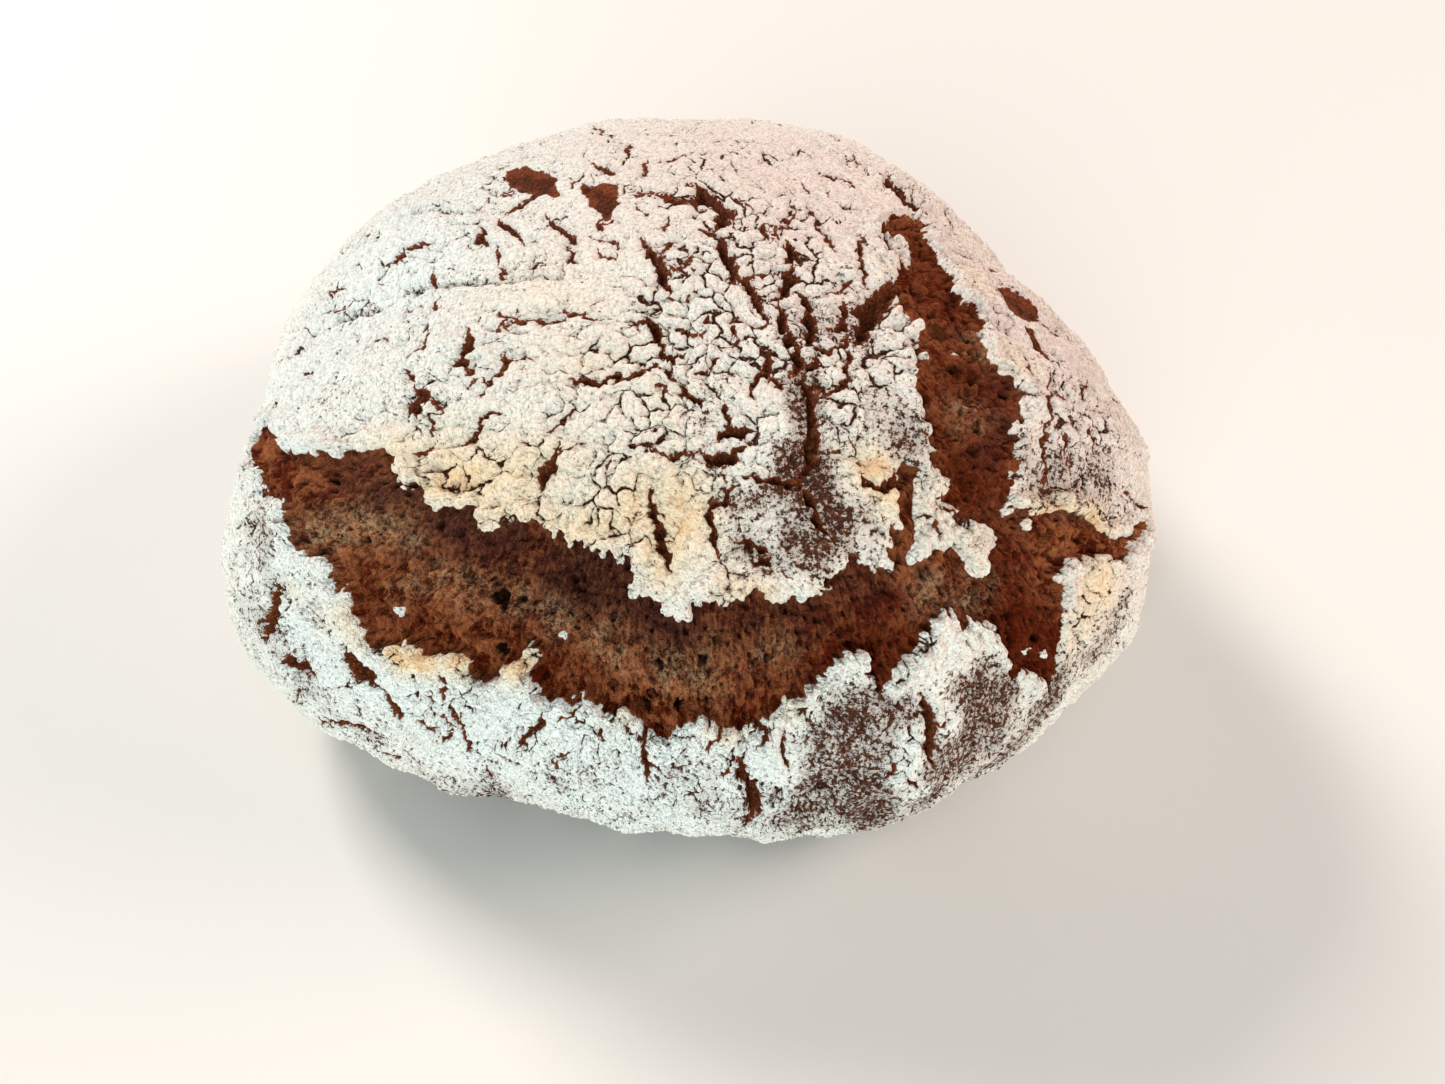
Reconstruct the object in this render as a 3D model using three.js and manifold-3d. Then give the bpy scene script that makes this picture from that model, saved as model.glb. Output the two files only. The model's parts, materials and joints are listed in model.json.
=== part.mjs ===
// Round free-form rye loaf: a floured dome that burst open along its front and its right shoulder.
// Millimetres, +Z up. The loaf rests on a flat face at z = 0, with the origin under the middle of
// its outline box, and its torn side faces -Y.
//
// The crust is laid out like a peeled orange: a place on it is (u, v), where the distance from
// (0, 0) is the arc length down the loaf's mean profile from the crown, and the direction is the
// compass direction seen from above. Tears, cracks and the loose flake are all drawn on that map.

import * as THREE from 'three';
import { mergeVertices } from 'three/addons/utils/BufferGeometryUtils.js';
import Module from 'manifold-3d';

// ---- Driving dimensions of the dome ----

const HEIGHT = 110;
const WAIST_HEIGHT = 32;      // height of the widest outline
const MEAN_RADIUS = 110;
const DOME_POWER = 2.1;       // 2 is an ellipse, more is squarer in the shoulder
const FOOT_INSET = 24;        // how far the crust tucks in under the waist
// Waist radius in sixteen equal steps of direction, anticlockwise from +X.
const WAIST_SPOKES = [108, 101, 112, 130, 137, 136, 135, 130, 116, 119, 104, 92, 91, 97, 100, 109];

const RINGS = 25;             // mesh rings from the crown to the foot
const FOOT_STEPS = 4;         // mesh rings across the flat resting face

// ---- Driving dimensions of the torn and cracked crust ----

const COVER = 5;              // how far a cutter stands proud of the crust
const RAGGED = 1.6;           // largest random shift of a torn edge
const TEAR_STATION = 1.65;    // degrees between the stations of the front tear
const TEAR_COLUMNS = 5;       // mesh columns across a tear's floor
const LIP_DEPTH = 2.6;        // step down from the cap's lip to the crumb
const CRUMB_DEPTH = 1.6;      // the crumb swells back up in the middle of the tear
const VALLEY_DEPTH = 4.2;     // the trough behind the skirt's upper edge
const CRUMB_RELIEF = 0.7;
const CRACK_STEP = 4;         // length of one straight bit of a crack
const CRACK_WANDER = 0.22;    // sideways wander of a crack, as a share of the step
const CRACK_DEPTH_SHARE = 0.8;
const CRACK_DEPTH_MOST = 1.8;

// Torn edges as [direction in degrees, arc length from the crown].
const CAP_EDGE = [
  [189, 104], [194, 97], [200, 92], [208, 86], [216, 79], [226, 87], [231, 82], [240, 83],
  [250, 88], [259, 86], [265, 98], [270, 96], [276, 92], [286, 93], [291, 86], [300, 84],
  [306, 78], [315, 80], [320, 91], [328, 101], [335, 115], [340, 120], [344, 124],
];
const SKIRT_EDGE = [
  [189, 106], [196, 107], [201, 103], [209, 103], [214, 108], [221, 109], [226, 122], [229, 117],
  [237, 116], [241, 122], [246, 114], [250, 122], [258, 122], [264, 129], [268, 122], [276, 121],
  [280, 117], [288, 108], [292, 110], [296, 106], [303, 106], [307, 111], [311, 128], [313, 145],
  [317, 148], [319, 128], [322, 112], [331, 118], [335, 120], [344, 127],
];
// The right shoulder's tear, as [u, v, width] from its upper tip down into the front tear.
const SHOULDER_TEAR = [
  [50, 26, 4], [49, 19, 12], [47, 8, 12], [46, 0, 14], [49, -10, 18], [50, -19, 17],
  [53, -28, 20], [55, -36, 22], [58, -46, 18], [61, -57, 15], [63, -68, 14], [64, -88, 10],
];
// The flake of crust left standing where the two tears meet.
const FLAKE = [[49, -59, 5], [52, -65, 15], [56, -70, 20], [61, -75, 12], [63, -79, 4]];
const FLAKE_ROOT = 6;         // how deep the flake reaches into the crumb

// Cracks that opened in the crust, as [start u, v, end u, v, width, sideways bow].
const CRACKS = [
  [-2, 17, 3, 2, 2.2, 1], [2, 0, 8, -15, 2.4, 1], [9, -16, 13, -28, 1.8, -1],
  [-13, 0, -9, -23, 1.7, 1], [-17, -29, -7, -41, 1.9, -1], [-31, -42, -12, -43, 1.3, -1],
  [-11, -46, -1, -55, 1.3, 0], [-9, -31, 0, -34, 1.2, 0], [17, 1, 17, -9, 2.4, 0],
  [18, -10, 16, -22, 2.1, -1], [16, -22, 20, -42, 2.2, 0], [20, -42, 22, -68, 3.4, -2],
  [14, -36, 10, -51, 1.4, 0], [20, -17, 22, -35, 2.2, -1], [30, -10, 30, -27, 1.6, 1],
  [31, -28, 25, -46, 1.5, 3], [22, 19, 27, -1, 1.5, 1], [41, -10, 33, -32, 1.8, -2],
  [-18, -63, -1, -65, 1.3, 1], [-1, -65, 10, -61, 2.2, -2], [9, -70, 22, -68, 3.2, 0],
  [22, -69, 27, -81, 3.6, 2], [-13, -74, -9, -85, 1.8, 0], [-42, 34, -30, 22, 5, 0],
  [-21, 24, -19, 9, 4.2, 0], [-42, 14, -36, 5, 1.6, 0], [-45, -21, -47, -34, 1.6, 0],
  [-58, -26, -57, -39, 1.7, 0], [-43, -45, -51, -50, 1.3, 0], [-33, -59, -37, -67, 1.8, 0],
  [40, 44, 68, 31, 1.7, -2], [66, -1, 80, 1, 3.6, 2], [72, -9, 75, -17, 1.6, 0],
  [75, -24, 78, -56, 1.2, 2], [-72, -108, -76, -123, 1.4, 0], [-44, -115, -57, -125, 1.9, 0],
  [-88, -97, -93, -109, 2.1, 0], [-89, -84, -89, -97, 2.2, 1], [-18, -124, -19, -142, 1.8, 0],
  [9, -131, 13, -156, 3.4, -2], [55, -106, 67, -125, 2.6, 0],
];
// The far side cracked in the same way: so many more, drawn at random between these limits.
const FAR_CRACKS = { count: 10, seed: 11, from: 15, to: 165, nearest: 45, farthest: 150, least: 8, most: 18 };

const FLOUR = { color: 0xe2dacb, roughness: 0.95, metalness: 0 };

const FULL_TURN = 2 * Math.PI;

// ---- Small helpers ----

function seededRandom(seed) {
  let state = seed >>> 0;
  return () => {
    state = (state * 1664525 + 1013904223) >>> 0;
    return state / 4294967296;
  };
}

function mix(a, b, share) {
  return a + (b - a) * share;
}

// Value at x on the broken line through [x, y] pairs in rising x.
function alongLine(pairs, x) {
  const next = pairs.findIndex((pair, i) => i > 0 && (pair[0] >= x || i === pairs.length - 1));
  const [x0, y0] = pairs[next - 1];
  const [x1, y1] = pairs[next];
  return mix(y0, y1, Math.min(1, Math.max(0, (x - x0) / (x1 - x0))));
}

// ---- The dome ----

// Waist radius in a direction: a smooth closed curve through the spokes.
function waistRadius(direction) {
  const count = WAIST_SPOKES.length;
  const place = (((direction / FULL_TURN) % 1) + 1) * count;
  const index = Math.floor(place);
  const f = place - index;
  const [a, b, c, d] = [-1, 0, 1, 2].map((step) => WAIST_SPOKES[(index + step) % count]);
  return 0.5 * (2 * b + (c - a) * f + (2 * a - 5 * b + 4 * c - d) * f ** 2
    + (3 * b - 3 * c + d - a) * f ** 3);
}

// The mean profile from the crown, over the shoulder, round the waist and under to the foot, as
// samples of { arc, reach, z }, with reach as a share of the waist radius.
function makeProfile() {
  const samples = [];
  const quarter = Math.PI / 2;
  for (let a = 0; a <= 200; a += 1) {
    const angle = (quarter * a) / 200;
    samples.push({
      reach: Math.sin(angle) ** (2 / DOME_POWER),
      z: WAIST_HEIGHT + (HEIGHT - WAIST_HEIGHT) * Math.max(0, Math.cos(angle)) ** (2 / DOME_POWER),
    });
  }
  for (let a = 1; a <= 60; a += 1) {
    const angle = (quarter * a) / 60;
    samples.push({
      reach: 1 - (FOOT_INSET / MEAN_RADIUS) * (1 - Math.cos(angle)),
      z: WAIST_HEIGHT * (1 - Math.sin(angle)),
    });
  }
  let arc = 0;
  samples.forEach((sample, i) => {
    if (i > 0) {
      const before = samples[i - 1];
      arc += Math.hypot((sample.reach - before.reach) * MEAN_RADIUS, sample.z - before.z);
    }
    sample.arc = arc;
  });
  return samples;
}

const profile = makeProfile();
const FOOT_ARC = profile[profile.length - 1].arc;

function profileAt(arc) {
  const next = Math.max(1, profile.findIndex((sample) => sample.arc >= Math.min(arc, FOOT_ARC)));
  const [before, after] = [profile[next - 1], profile[next]];
  const share = Math.min(1, (arc - before.arc) / (after.arc - before.arc));
  const run = (after.reach - before.reach) * MEAN_RADIUS;
  const fall = after.z - before.z;
  return {
    reach: mix(before.reach, after.reach, share),
    z: mix(before.z, after.z, share),
    slope: [run, fall].map((part) => part / Math.hypot(run, fall)),
  };
}

// The gentle rise and fall of the crust, which dies out towards the foot.
function swell(u, v) {
  const fade = Math.min(1, Math.max(0, (FOOT_ARC - Math.hypot(u, v)) / 30));
  const waves = 0.5 * Math.sin(0.11 * u + 0.05 * v + 1) + 0.5 * Math.sin(0.13 * v - 0.04 * u + 2.3)
    + 0.3 * Math.sin(0.21 * u - 0.17 * v);
  return fade * waves;
}

// The point at map place (u, v), that far below the crust's surface.
function crustPoint(u, v, depth = 0) {
  const direction = Math.atan2(v, u);
  const { reach, z, slope } = profileAt(Math.hypot(u, v));
  const raise = swell(u, v) - depth;
  const radius = reach * waistRadius(direction) - slope[1] * raise;
  return [radius * Math.cos(direction), radius * Math.sin(direction), z + slope[0] * raise];
}

// ---- Solids ----

function signedVolume(points, triangles) {
  const corner = (index) => new THREE.Vector3(...points[index]);
  return triangles.reduce((sum, [a, b, c]) => sum + corner(a).dot(corner(b).cross(corner(c))) / 6, 0);
}

// A closed body from points and triangles, turned so that its faces point out.
function solid(wasm, points, triangles) {
  const outward = signedVolume(points, triangles) > 0;
  const turned = outward ? triangles : triangles.map(([a, b, c]) => [a, c, b]);
  const geometry = new THREE.BufferGeometry();
  geometry.setAttribute('position', new THREE.Float32BufferAttribute(points.flat(), 3));
  geometry.setIndex(turned.flat());
  const merged = mergeVertices(geometry, 1e-4);
  return new wasm.Manifold(new wasm.Mesh({
    numProp: 3,
    vertProperties: merged.attributes.position.array,
    triVerts: new Uint32Array(merged.index.array),
  }));
}

// Triangles between two closed rings of points, each given as a first index and a count.
function zipRings(inner, outer) {
  const triangles = [];
  let [i, j] = [0, 0];
  while (i < inner.count || j < outer.count) {
    const a = inner.first + (i % inner.count);
    const b = outer.first + (j % outer.count);
    const stepOuter = inner.count === 1 ? true : (j + 0.5) / outer.count <= (i + 0.5) / inner.count;
    if (stepOuter && j < outer.count) {
      triangles.push([a, b, outer.first + ((j + 1) % outer.count)]);
      j += 1;
    } else {
      if (inner.count > 1) {
        triangles.push([a, b, inner.first + ((i + 1) % inner.count)]);
      }
      i += 1;
    }
  }
  return triangles;
}

// The whole dome before it burst: rings of points down to the foot, then across the resting face.
function makeDome(wasm) {
  const points = [];
  const rings = [];
  const addRing = (count, place) => {
    rings.push({ first: points.length, count });
    for (let i = 0; i < count; i += 1) {
      points.push(place((FULL_TURN * i) / count));
    }
  };
  for (let ring = 0; ring <= RINGS; ring += 1) {
    const arc = (FOOT_ARC * ring) / RINGS;
    addRing(Math.max(1, 6 * ring), (angle) => crustPoint(arc * Math.cos(angle), arc * Math.sin(angle)));
  }
  for (let step = FOOT_STEPS - 1; step >= 0; step -= 1) {
    const share = step / FOOT_STEPS;
    const count = Math.max(1, Math.round((6 * RINGS * step) / FOOT_STEPS));
    addRing(count, (angle) => {
      const [x, y] = crustPoint(FOOT_ARC * Math.cos(angle), FOOT_ARC * Math.sin(angle));
      return [x * share, y * share, 0];
    });
  }
  const triangles = [];
  for (let ring = 1; ring < rings.length; ring += 1) {
    const growing = rings[ring].count > rings[ring - 1].count;
    const pair = growing ? [rings[ring - 1], rings[ring]] : [rings[ring], rings[ring - 1]];
    zipRings(...pair).forEach(([a, b, c]) => triangles.push(growing ? [a, b, c] : [a, c, b]));
  }
  return solid(wasm, points, triangles);
}

// A slab that follows the crust between two edges. Each station has a left and a right map place;
// floor(station, share across) is its lower face's depth, and its upper face is that far proud.
function makeSlab(wasm, stations, columns, floor, proud) {
  const points = [];
  const index = (side, i, j) => side * stations.length * (columns + 1) + i * (columns + 1) + j;
  for (const side of [0, 1]) {
    stations.forEach(({ left, right }, i) => {
      for (let j = 0; j <= columns; j += 1) {
        const share = j / columns;
        const depth = side === 0 ? floor(i, share) : -proud;
        points.push(crustPoint(mix(left[0], right[0], share), mix(left[1], right[1], share), depth));
      }
    });
  }
  const triangles = [];
  const quad = (a, b, c, d) => triangles.push([a, b, c], [a, c, d]);
  const last = stations.length - 1;
  for (let i = 0; i < last; i += 1) {
    for (let j = 0; j < columns; j += 1) {
      quad(index(0, i, j), index(0, i, j + 1), index(0, i + 1, j + 1), index(0, i + 1, j));
      quad(index(1, i, j), index(1, i + 1, j), index(1, i + 1, j + 1), index(1, i, j + 1));
    }
    quad(index(0, i, 0), index(0, i + 1, 0), index(1, i + 1, 0), index(1, i, 0));
    quad(index(0, i, columns), index(1, i, columns), index(1, i + 1, columns), index(0, i + 1, columns));
  }
  for (let j = 0; j < columns; j += 1) {
    quad(index(0, 0, j), index(1, 0, j), index(1, 0, j + 1), index(0, 0, j + 1));
    quad(index(0, last, j), index(0, last, j + 1), index(1, last, j + 1), index(1, last, j));
  }
  return solid(wasm, points, triangles);
}

// Depth of the torn crumb across a tear, from the skirt's edge (0) to the cap's edge (1).
function crumbDepth(share, relief) {
  const line = [[0, VALLEY_DEPTH], [0.2, VALLEY_DEPTH * 0.8], [0.5, CRUMB_DEPTH], [1, LIP_DEPTH]];
  return alongLine(line, share) + relief;
}

// The long tear round the front, between the cap's lower edge and the skirt's upper edge.
function makeFrontTear(wasm) {
  const random = seededRandom(5);
  const jag = () => (random() - 0.5) * 2 * RAGGED;
  const [from, to] = [CAP_EDGE[0][0], CAP_EDGE[CAP_EDGE.length - 1][0]];
  const count = Math.round((to - from) / TEAR_STATION);
  const stations = [];
  for (let i = 0; i <= count; i += 1) {
    const degrees = mix(from, to, i / count);
    const angle = THREE.MathUtils.degToRad(degrees);
    const cap = alongLine(CAP_EDGE, degrees) + jag();
    const skirt = Math.max(cap + 1.5, alongLine(SKIRT_EDGE, degrees) + jag());
    stations.push({
      left: [skirt * Math.cos(angle), skirt * Math.sin(angle)],
      right: [cap * Math.cos(angle), cap * Math.sin(angle)],
    });
  }
  const floor = (i, share) => crumbDepth(share, (random() - 0.5) * 2 * CRUMB_RELIEF);
  return makeSlab(wasm, stations, TEAR_COLUMNS, floor, COVER);
}

// Stations along a path of [u, v, width], a step apart, with ragged sides.
function pathStations(path, step, ragged, seed) {
  const random = seededRandom(seed);
  const stations = [];
  for (let k = 1; k < path.length; k += 1) {
    const [u0, v0, width0] = path[k - 1];
    const [u1, v1, width1] = path[k];
    const length = Math.hypot(u1 - u0, v1 - v0);
    const across = [(v0 - v1) / length, (u1 - u0) / length];
    const pieces = Math.max(1, Math.round(length / step));
    const start = k === 1 ? 0 : 1;
    for (let i = start; i <= pieces; i += 1) {
      const share = i / pieces;
      const place = [mix(u0, u1, share), mix(v0, v1, share)];
      const half = mix(width0, width1, share) / 2;
      const [a, b] = [half + (random() - 0.5) * ragged, half + (random() - 0.5) * ragged];
      stations.push({
        left: [place[0] + across[0] * a, place[1] + across[1] * a],
        right: [place[0] - across[0] * b, place[1] - across[1] * b],
      });
    }
  }
  return stations;
}

function makeShoulderTear(wasm) {
  const random = seededRandom(17);
  const floor = () => mix(CRUMB_DEPTH, LIP_DEPTH, random());
  return makeSlab(wasm, pathStations(SHOULDER_TEAR, 3, RAGGED, 3), TEAR_COLUMNS, floor, COVER);
}

function makeFlake(wasm) {
  return makeSlab(wasm, pathStations(FLAKE, 3, RAGGED * 1.5, 8), 3, () => FLAKE_ROOT, 0);
}

// A crack is a wandering wedge with its edge down, which runs out to nothing at both ends.
function makeCrack(wasm, [u0, v0, u1, v1, width, bow], random) {
  const length = Math.hypot(u1 - u0, v1 - v0);
  const across = [(v0 - v1) / length, (u1 - u0) / length];
  const pieces = Math.max(2, Math.round(length / CRACK_STEP));
  const depth = Math.min(CRACK_DEPTH_MOST, width * CRACK_DEPTH_SHARE);
  const points = [];
  const triangles = [];
  for (let i = 0; i <= pieces; i += 1) {
    const share = i / pieces;
    const opening = 0.25 + 0.75 * Math.sin(Math.PI * share) ** 0.5;
    const inner = i > 0 && i < pieces ? 1 : 0;
    const wander = inner * (random() - 0.5) * 2 * CRACK_WANDER * CRACK_STEP;
    const side = wander + bow * Math.sin(Math.PI * share);
    const half = (opening * width * (1 + COVER / depth)) / 2;
    const place = (shift, down) => crustPoint(
      mix(u0, u1, share) + across[0] * (side + shift),
      mix(v0, v1, share) + across[1] * (side + shift),
      down,
    );
    points.push(place(0, depth * opening), place(half, -COVER), place(-half, -COVER));
    if (i > 0) {
      const [now, before] = [3 * i, 3 * i - 3];
      for (const [a, b] of [[0, 1], [1, 2], [2, 0]]) {
        triangles.push([before + a, before + b, now + b], [before + a, now + b, now + a]);
      }
    }
  }
  const end = 3 * pieces;
  triangles.push([2, 1, 0], [end, end + 1, end + 2]);
  return solid(wasm, points, triangles);
}

function farCracks() {
  const { count, seed, from, to, nearest, farthest, least, most } = FAR_CRACKS;
  const random = seededRandom(seed);
  return Array.from({ length: count }, () => {
    const angle = THREE.MathUtils.degToRad(mix(from, to, random()));
    const arc = mix(nearest, farthest, random());
    const heading = random() * FULL_TURN;
    const length = mix(least, most, random());
    const [u, v] = [arc * Math.cos(angle), arc * Math.sin(angle)];
    return [u, v, u + length * Math.cos(heading), v + length * Math.sin(heading), mix(1.2, 2, random()), 0];
  });
}

// ---- The loaf ----

function makeLoaf(wasm) {
  const random = seededRandom(29);
  const tears = makeFrontTear(wasm).add(makeShoulderTear(wasm));
  let body = makeDome(wasm).subtract(tears).add(makeFlake(wasm));
  for (const crack of [...CRACKS, ...farCracks()]) {
    body = body.subtract(makeCrack(wasm, crack, random));
  }
  return body;
}

function toGeometry(body) {
  const mesh = body.getMesh();
  const geometry = new THREE.BufferGeometry();
  geometry.setAttribute('position', new THREE.Float32BufferAttribute(mesh.vertProperties, 3));
  geometry.setIndex(Array.from(mesh.triVerts));
  geometry.computeVertexNormals();
  return geometry;
}

const wasm = await Module();
wasm.setup();

const loaf = new THREE.Mesh(toGeometry(makeLoaf(wasm)), new THREE.MeshStandardMaterial(FLOUR));
loaf.name = 'loaf';
loaf.geometry.computeBoundingBox();
const outline = loaf.geometry.boundingBox;
loaf.position.set(-(outline.min.x + outline.max.x) / 2, -(outline.min.y + outline.max.y) / 2, 0);

const breadGroup = new THREE.Group();
breadGroup.add(loaf);

export default breadGroup;
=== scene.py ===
"""Rye bread loaf: the looks of a round, floured, torn loaf, laid out as a Blender add-on.

Run as a script, it builds the loaf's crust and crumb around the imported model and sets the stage.

The crust is laid out like a peeled orange. A place on it is (u, v) in millimetres: the distance
from (0, 0) is the arc length down the loaf's mean profile from the crown, and the direction is
the compass direction seen from above, with the torn side towards -v.
"""
import json
import math

import bpy
import numpy as np
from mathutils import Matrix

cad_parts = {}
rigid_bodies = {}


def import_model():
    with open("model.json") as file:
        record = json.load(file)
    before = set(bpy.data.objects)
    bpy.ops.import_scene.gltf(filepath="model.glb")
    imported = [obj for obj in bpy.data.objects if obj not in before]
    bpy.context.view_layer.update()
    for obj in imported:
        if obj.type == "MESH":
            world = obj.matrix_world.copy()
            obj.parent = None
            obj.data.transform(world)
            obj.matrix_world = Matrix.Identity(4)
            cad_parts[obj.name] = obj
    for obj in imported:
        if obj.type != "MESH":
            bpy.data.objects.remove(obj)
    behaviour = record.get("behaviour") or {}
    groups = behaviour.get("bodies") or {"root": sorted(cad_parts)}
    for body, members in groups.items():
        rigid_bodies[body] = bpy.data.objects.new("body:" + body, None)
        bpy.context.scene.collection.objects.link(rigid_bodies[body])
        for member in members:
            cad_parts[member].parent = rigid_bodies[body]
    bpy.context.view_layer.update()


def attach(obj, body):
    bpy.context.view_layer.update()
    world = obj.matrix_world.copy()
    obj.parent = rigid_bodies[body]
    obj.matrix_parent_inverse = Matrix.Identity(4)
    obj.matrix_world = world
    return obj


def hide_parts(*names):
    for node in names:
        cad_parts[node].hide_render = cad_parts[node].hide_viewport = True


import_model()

bl_info = {
    "name": "Rye Bread Loaf",
    "version": (1, 0, 0),
    "blender": (4, 5, 0),
    "location": "View3D > Sidebar > Rye Loaf",
    "description": "Builds a floured rye loaf with a torn, cracked crust, and a stage for it",
    "category": "Add Mesh",
}

MM = 0.001

# ---- The dome, as the solid has it (mm) ----

# Waist radius in sixteen equal steps of direction, anticlockwise from +X.
WAIST_SPOKES = (108, 101, 112, 130, 137, 136, 135, 130, 116, 119, 104, 92, 91, 97, 100, 109)
MEAN_RADIUS = 110.0
DOME_POWER = 2.1             # 2 is an ellipse, more is squarer in the shoulder
CROWN = (6.65, -22.42)       # where the crown stands from the frame's origin
# The crust's gentle swell: waves of (height, radians per mm along u, the same along v, start).
SWELL = ((0.5, 0.11, 0.05, 1.0), (0.5, -0.04, 0.13, 2.3), (0.3, 0.21, -0.17, 0.0))
SWELL_FADE = 30.0            # it dies out over this much arc above the foot

# ---- The skin of the loaf as a disc of mesh, and the pieces that it is parted into ----

DISC_CUTS = (9, 28)          # cuts of the first hexagon, one after the other: 290 rings
FRONT_SHARE = 0.3            # how far the mesh is drawn towards the torn side, 0 to 1
MEAN_RINGS = 300             # the mesh's mean spacing is the foot's arc over this
CRACK_SNAP = 0.42            # vertices this near to a crack's side move onto it, in spacings
TEAR_SNAP = 0.45             # the same beside a torn edge
RIM = 3.0                    # the outermost arc, whose vertices stay where they are
PIECES = ("crust_cap", "crust_skirt", "crust_foot", "torn_crumb")
SEAM_BEHIND = 112.0          # arc at which the cap meets the skirt, where no tear parts them
SEAM_TURN = 15.0             # degrees past the tear's ends over which that seam gets there
SEAM_LOW = 162.0             # arc at which the skirt meets the foot, below the waist
SEAM_IN_TEAR = 3.2           # how far inside a tear the crust pieces end
HEART = (0.0, 0.0, 0.035)    # the point inside the loaf that its pieces close towards, metres
UNDERSIDE_SHARES = (0.04, 1.0)   # a narrow ledge, then the flat underside

# ---- Unevenness of crust, crumb and flour, as ripples: (height, mm across, seed) ----

TABLE_SIZE = 128             # random tables repeat after this many cells
TABLE_START = 900            # keeps every place on a table's positive side
PLATES = ((0.4, 13, 42), (0.36, 6, 43), (0.26, 2.8, 44))
HOLLOWS = ((0.9, 8, 21),)
LUMPS = ((0.7, 3.6, 22), (0.35, 1.1, 23))
RIDGES = ((0.7, 3.6, 24), (0.5, 1.8, 25))
UNEVEN_FLOUR = ((0.09, 17, 53), (0.05, 6, 54))
UNEVEN_NET = ((0.4, 7, 65), (0.3, 2.6, 73))
# Soft changes of colour: blotches all over, stray ochre in the crumb, and a random shift between the
# flour's painted bluish light and painted warm reflection.
MOTTLE = ((0.3, 3.4, 67), (0.2, 1.7, 68))
TINT = ((0.5, 11, 66),)
TINGE = ((0.12, 7, 70),)
# How torn edges, scraps, creases, pores and the fine net stray: ripples of (how far, mm across).
EDGE_STRAY = ((0.9, 3.4), (0.5, 1.5))
SCRAP_STRAY = ((0.7, 2.4), (0.3, 1.1))
CREASE_STRAY = ((1.2, 6.0),)
PORE_STRAY = ((0.3, 1.2),)
NET_STRAY = ((1.5, 3.4), (0.8, 1.6))
# Clumps of flour that stand out from torn edges and scraps: (how far, mm across, seed).
EDGE_CLUMPS = ((1.7, 2.9, 14), (0.7, 1.5, 15))
SCRAP_CLUMPS = ((0.5, 1.4, 16),)
CLUMP_EDGE = 0.4             # how far up a clump the edge runs round it, 0 to 1
FOOT_FADE = 7.0              # arc above the foot over which all relief dies out
FOOT_CALM = 0.004            # height above the foot over which the finest relief does, metres

# ---- Tears: torn edges as (direction in degrees, arc length from the crown) ----

CAP_EDGE = (
    (189, 104), (191, 103), (194, 98), (198, 94), (203, 91), (205, 88), (209, 86), (211, 80),
    (216, 79), (219, 83), (223, 83), (226, 87), (228, 83), (232, 83), (234, 87), (237, 86),
    (241, 83), (245, 86), (248, 88), (251, 86), (255, 89), (258, 87), (260, 95), (263, 96),
    (265, 101), (268, 97), (270, 96), (274, 95), (278, 92), (280, 96), (283, 94), (286, 93),
    (289, 90), (292, 87), (294, 92), (296, 89), (298.5, 86), (300.5, 81), (302, 77), (304, 72.5),
    (306, 72), (308, 75), (311, 78), (315, 79), (317, 89), (320, 91), (323, 97), (326, 98),
    (328, 101), (330, 108), (333, 114), (335, 116), (338, 117), (341, 121), (344, 124),
)
SKIRT_EDGE = (
    (189, 105), (193, 107), (196, 107), (200, 103), (204, 104), (207, 101), (209, 103),
    (212, 109), (214, 108), (217, 106), (219, 112), (221, 110), (223, 114), (226, 123),
    (228, 119), (231, 116), (234, 118), (237, 116), (239, 121), (241, 123), (243, 118),
    (246, 114), (248, 121), (251, 123), (254, 121), (257, 124), (260, 122), (263, 129),
    (265, 129), (268, 122), (272, 123), (275, 125), (277, 124), (279, 118), (282, 116), (286, 112),
    (287.5, 107), (289.5, 107), (290.5, 111), (291.5, 120), (292.5, 119), (293.5, 113), (295, 111.5),
    (297, 109.5), (299, 107.5), (300.5, 104), (302, 104), (303.3, 107), (304.2, 113), (305.2, 109),
    (307, 110), (308.5, 112), (309.6, 118), (310.6, 131), (311.6, 133), (312.6, 129), (314, 130),
    (315, 135), (316.5, 138), (318, 140), (318.8, 131), (319.5, 116), (322, 108), (326, 113),
    (330, 116), (332, 122), (335, 119), (338, 124), (344, 126),
)
# The right shoulder's tear, as a ring of (u, v): down its right side, then up its left.
SHOULDER_TEAR = (
    (42.5, 20), (46, 26), (53, 29), (58.5, 27.5), (54.5, 19), (53, 11), (52, 4), (54, -1), (54, -9),
    (59, -9), (60, -12), (58, -18), (59, -22), (61, -25), (62, -28), (65, -28), (67, -31), (68, -35),
    (67, -39), (68, -47), (69, -54), (70, -64), (70, -78), (58, -84), (54, -66), (53, -60), (51, -58),
    (49, -54), (48, -49), (46, -46), (45, -41), (44, -34), (43, -29), (43, -24), (45, -21),
    (44, -19), (41, -21), (39, -15), (40, -10), (40.5, -5), (38.8, 1), (38.8, 7), (41, 13),
)
# Crust left standing where the two tears meet, then in the shoulder's neck: rings of (u, v).
FLAKE = (
    (48, -59), (50, -58), (54, -59), (55, -62), (52, -63), (53, -65), (57, -64.5), (60, -67),
    (63, -66), (67, -66), (68, -69), (66, -72), (66, -78), (63, -79), (60, -78), (58, -74),
    (53, -75), (49, -77), (47, -79.5), (45, -80), (46.5, -75), (46.2, -71), (46.5, -65), (47, -61),
)
NECK_CLUMP = (
    (42, 9), (44, 9.5), (44.5, 7), (46, 6), (45, 2.5), (45, 0), (43.8, -1.5), (42, 1), (41.5, 5),
)
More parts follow.
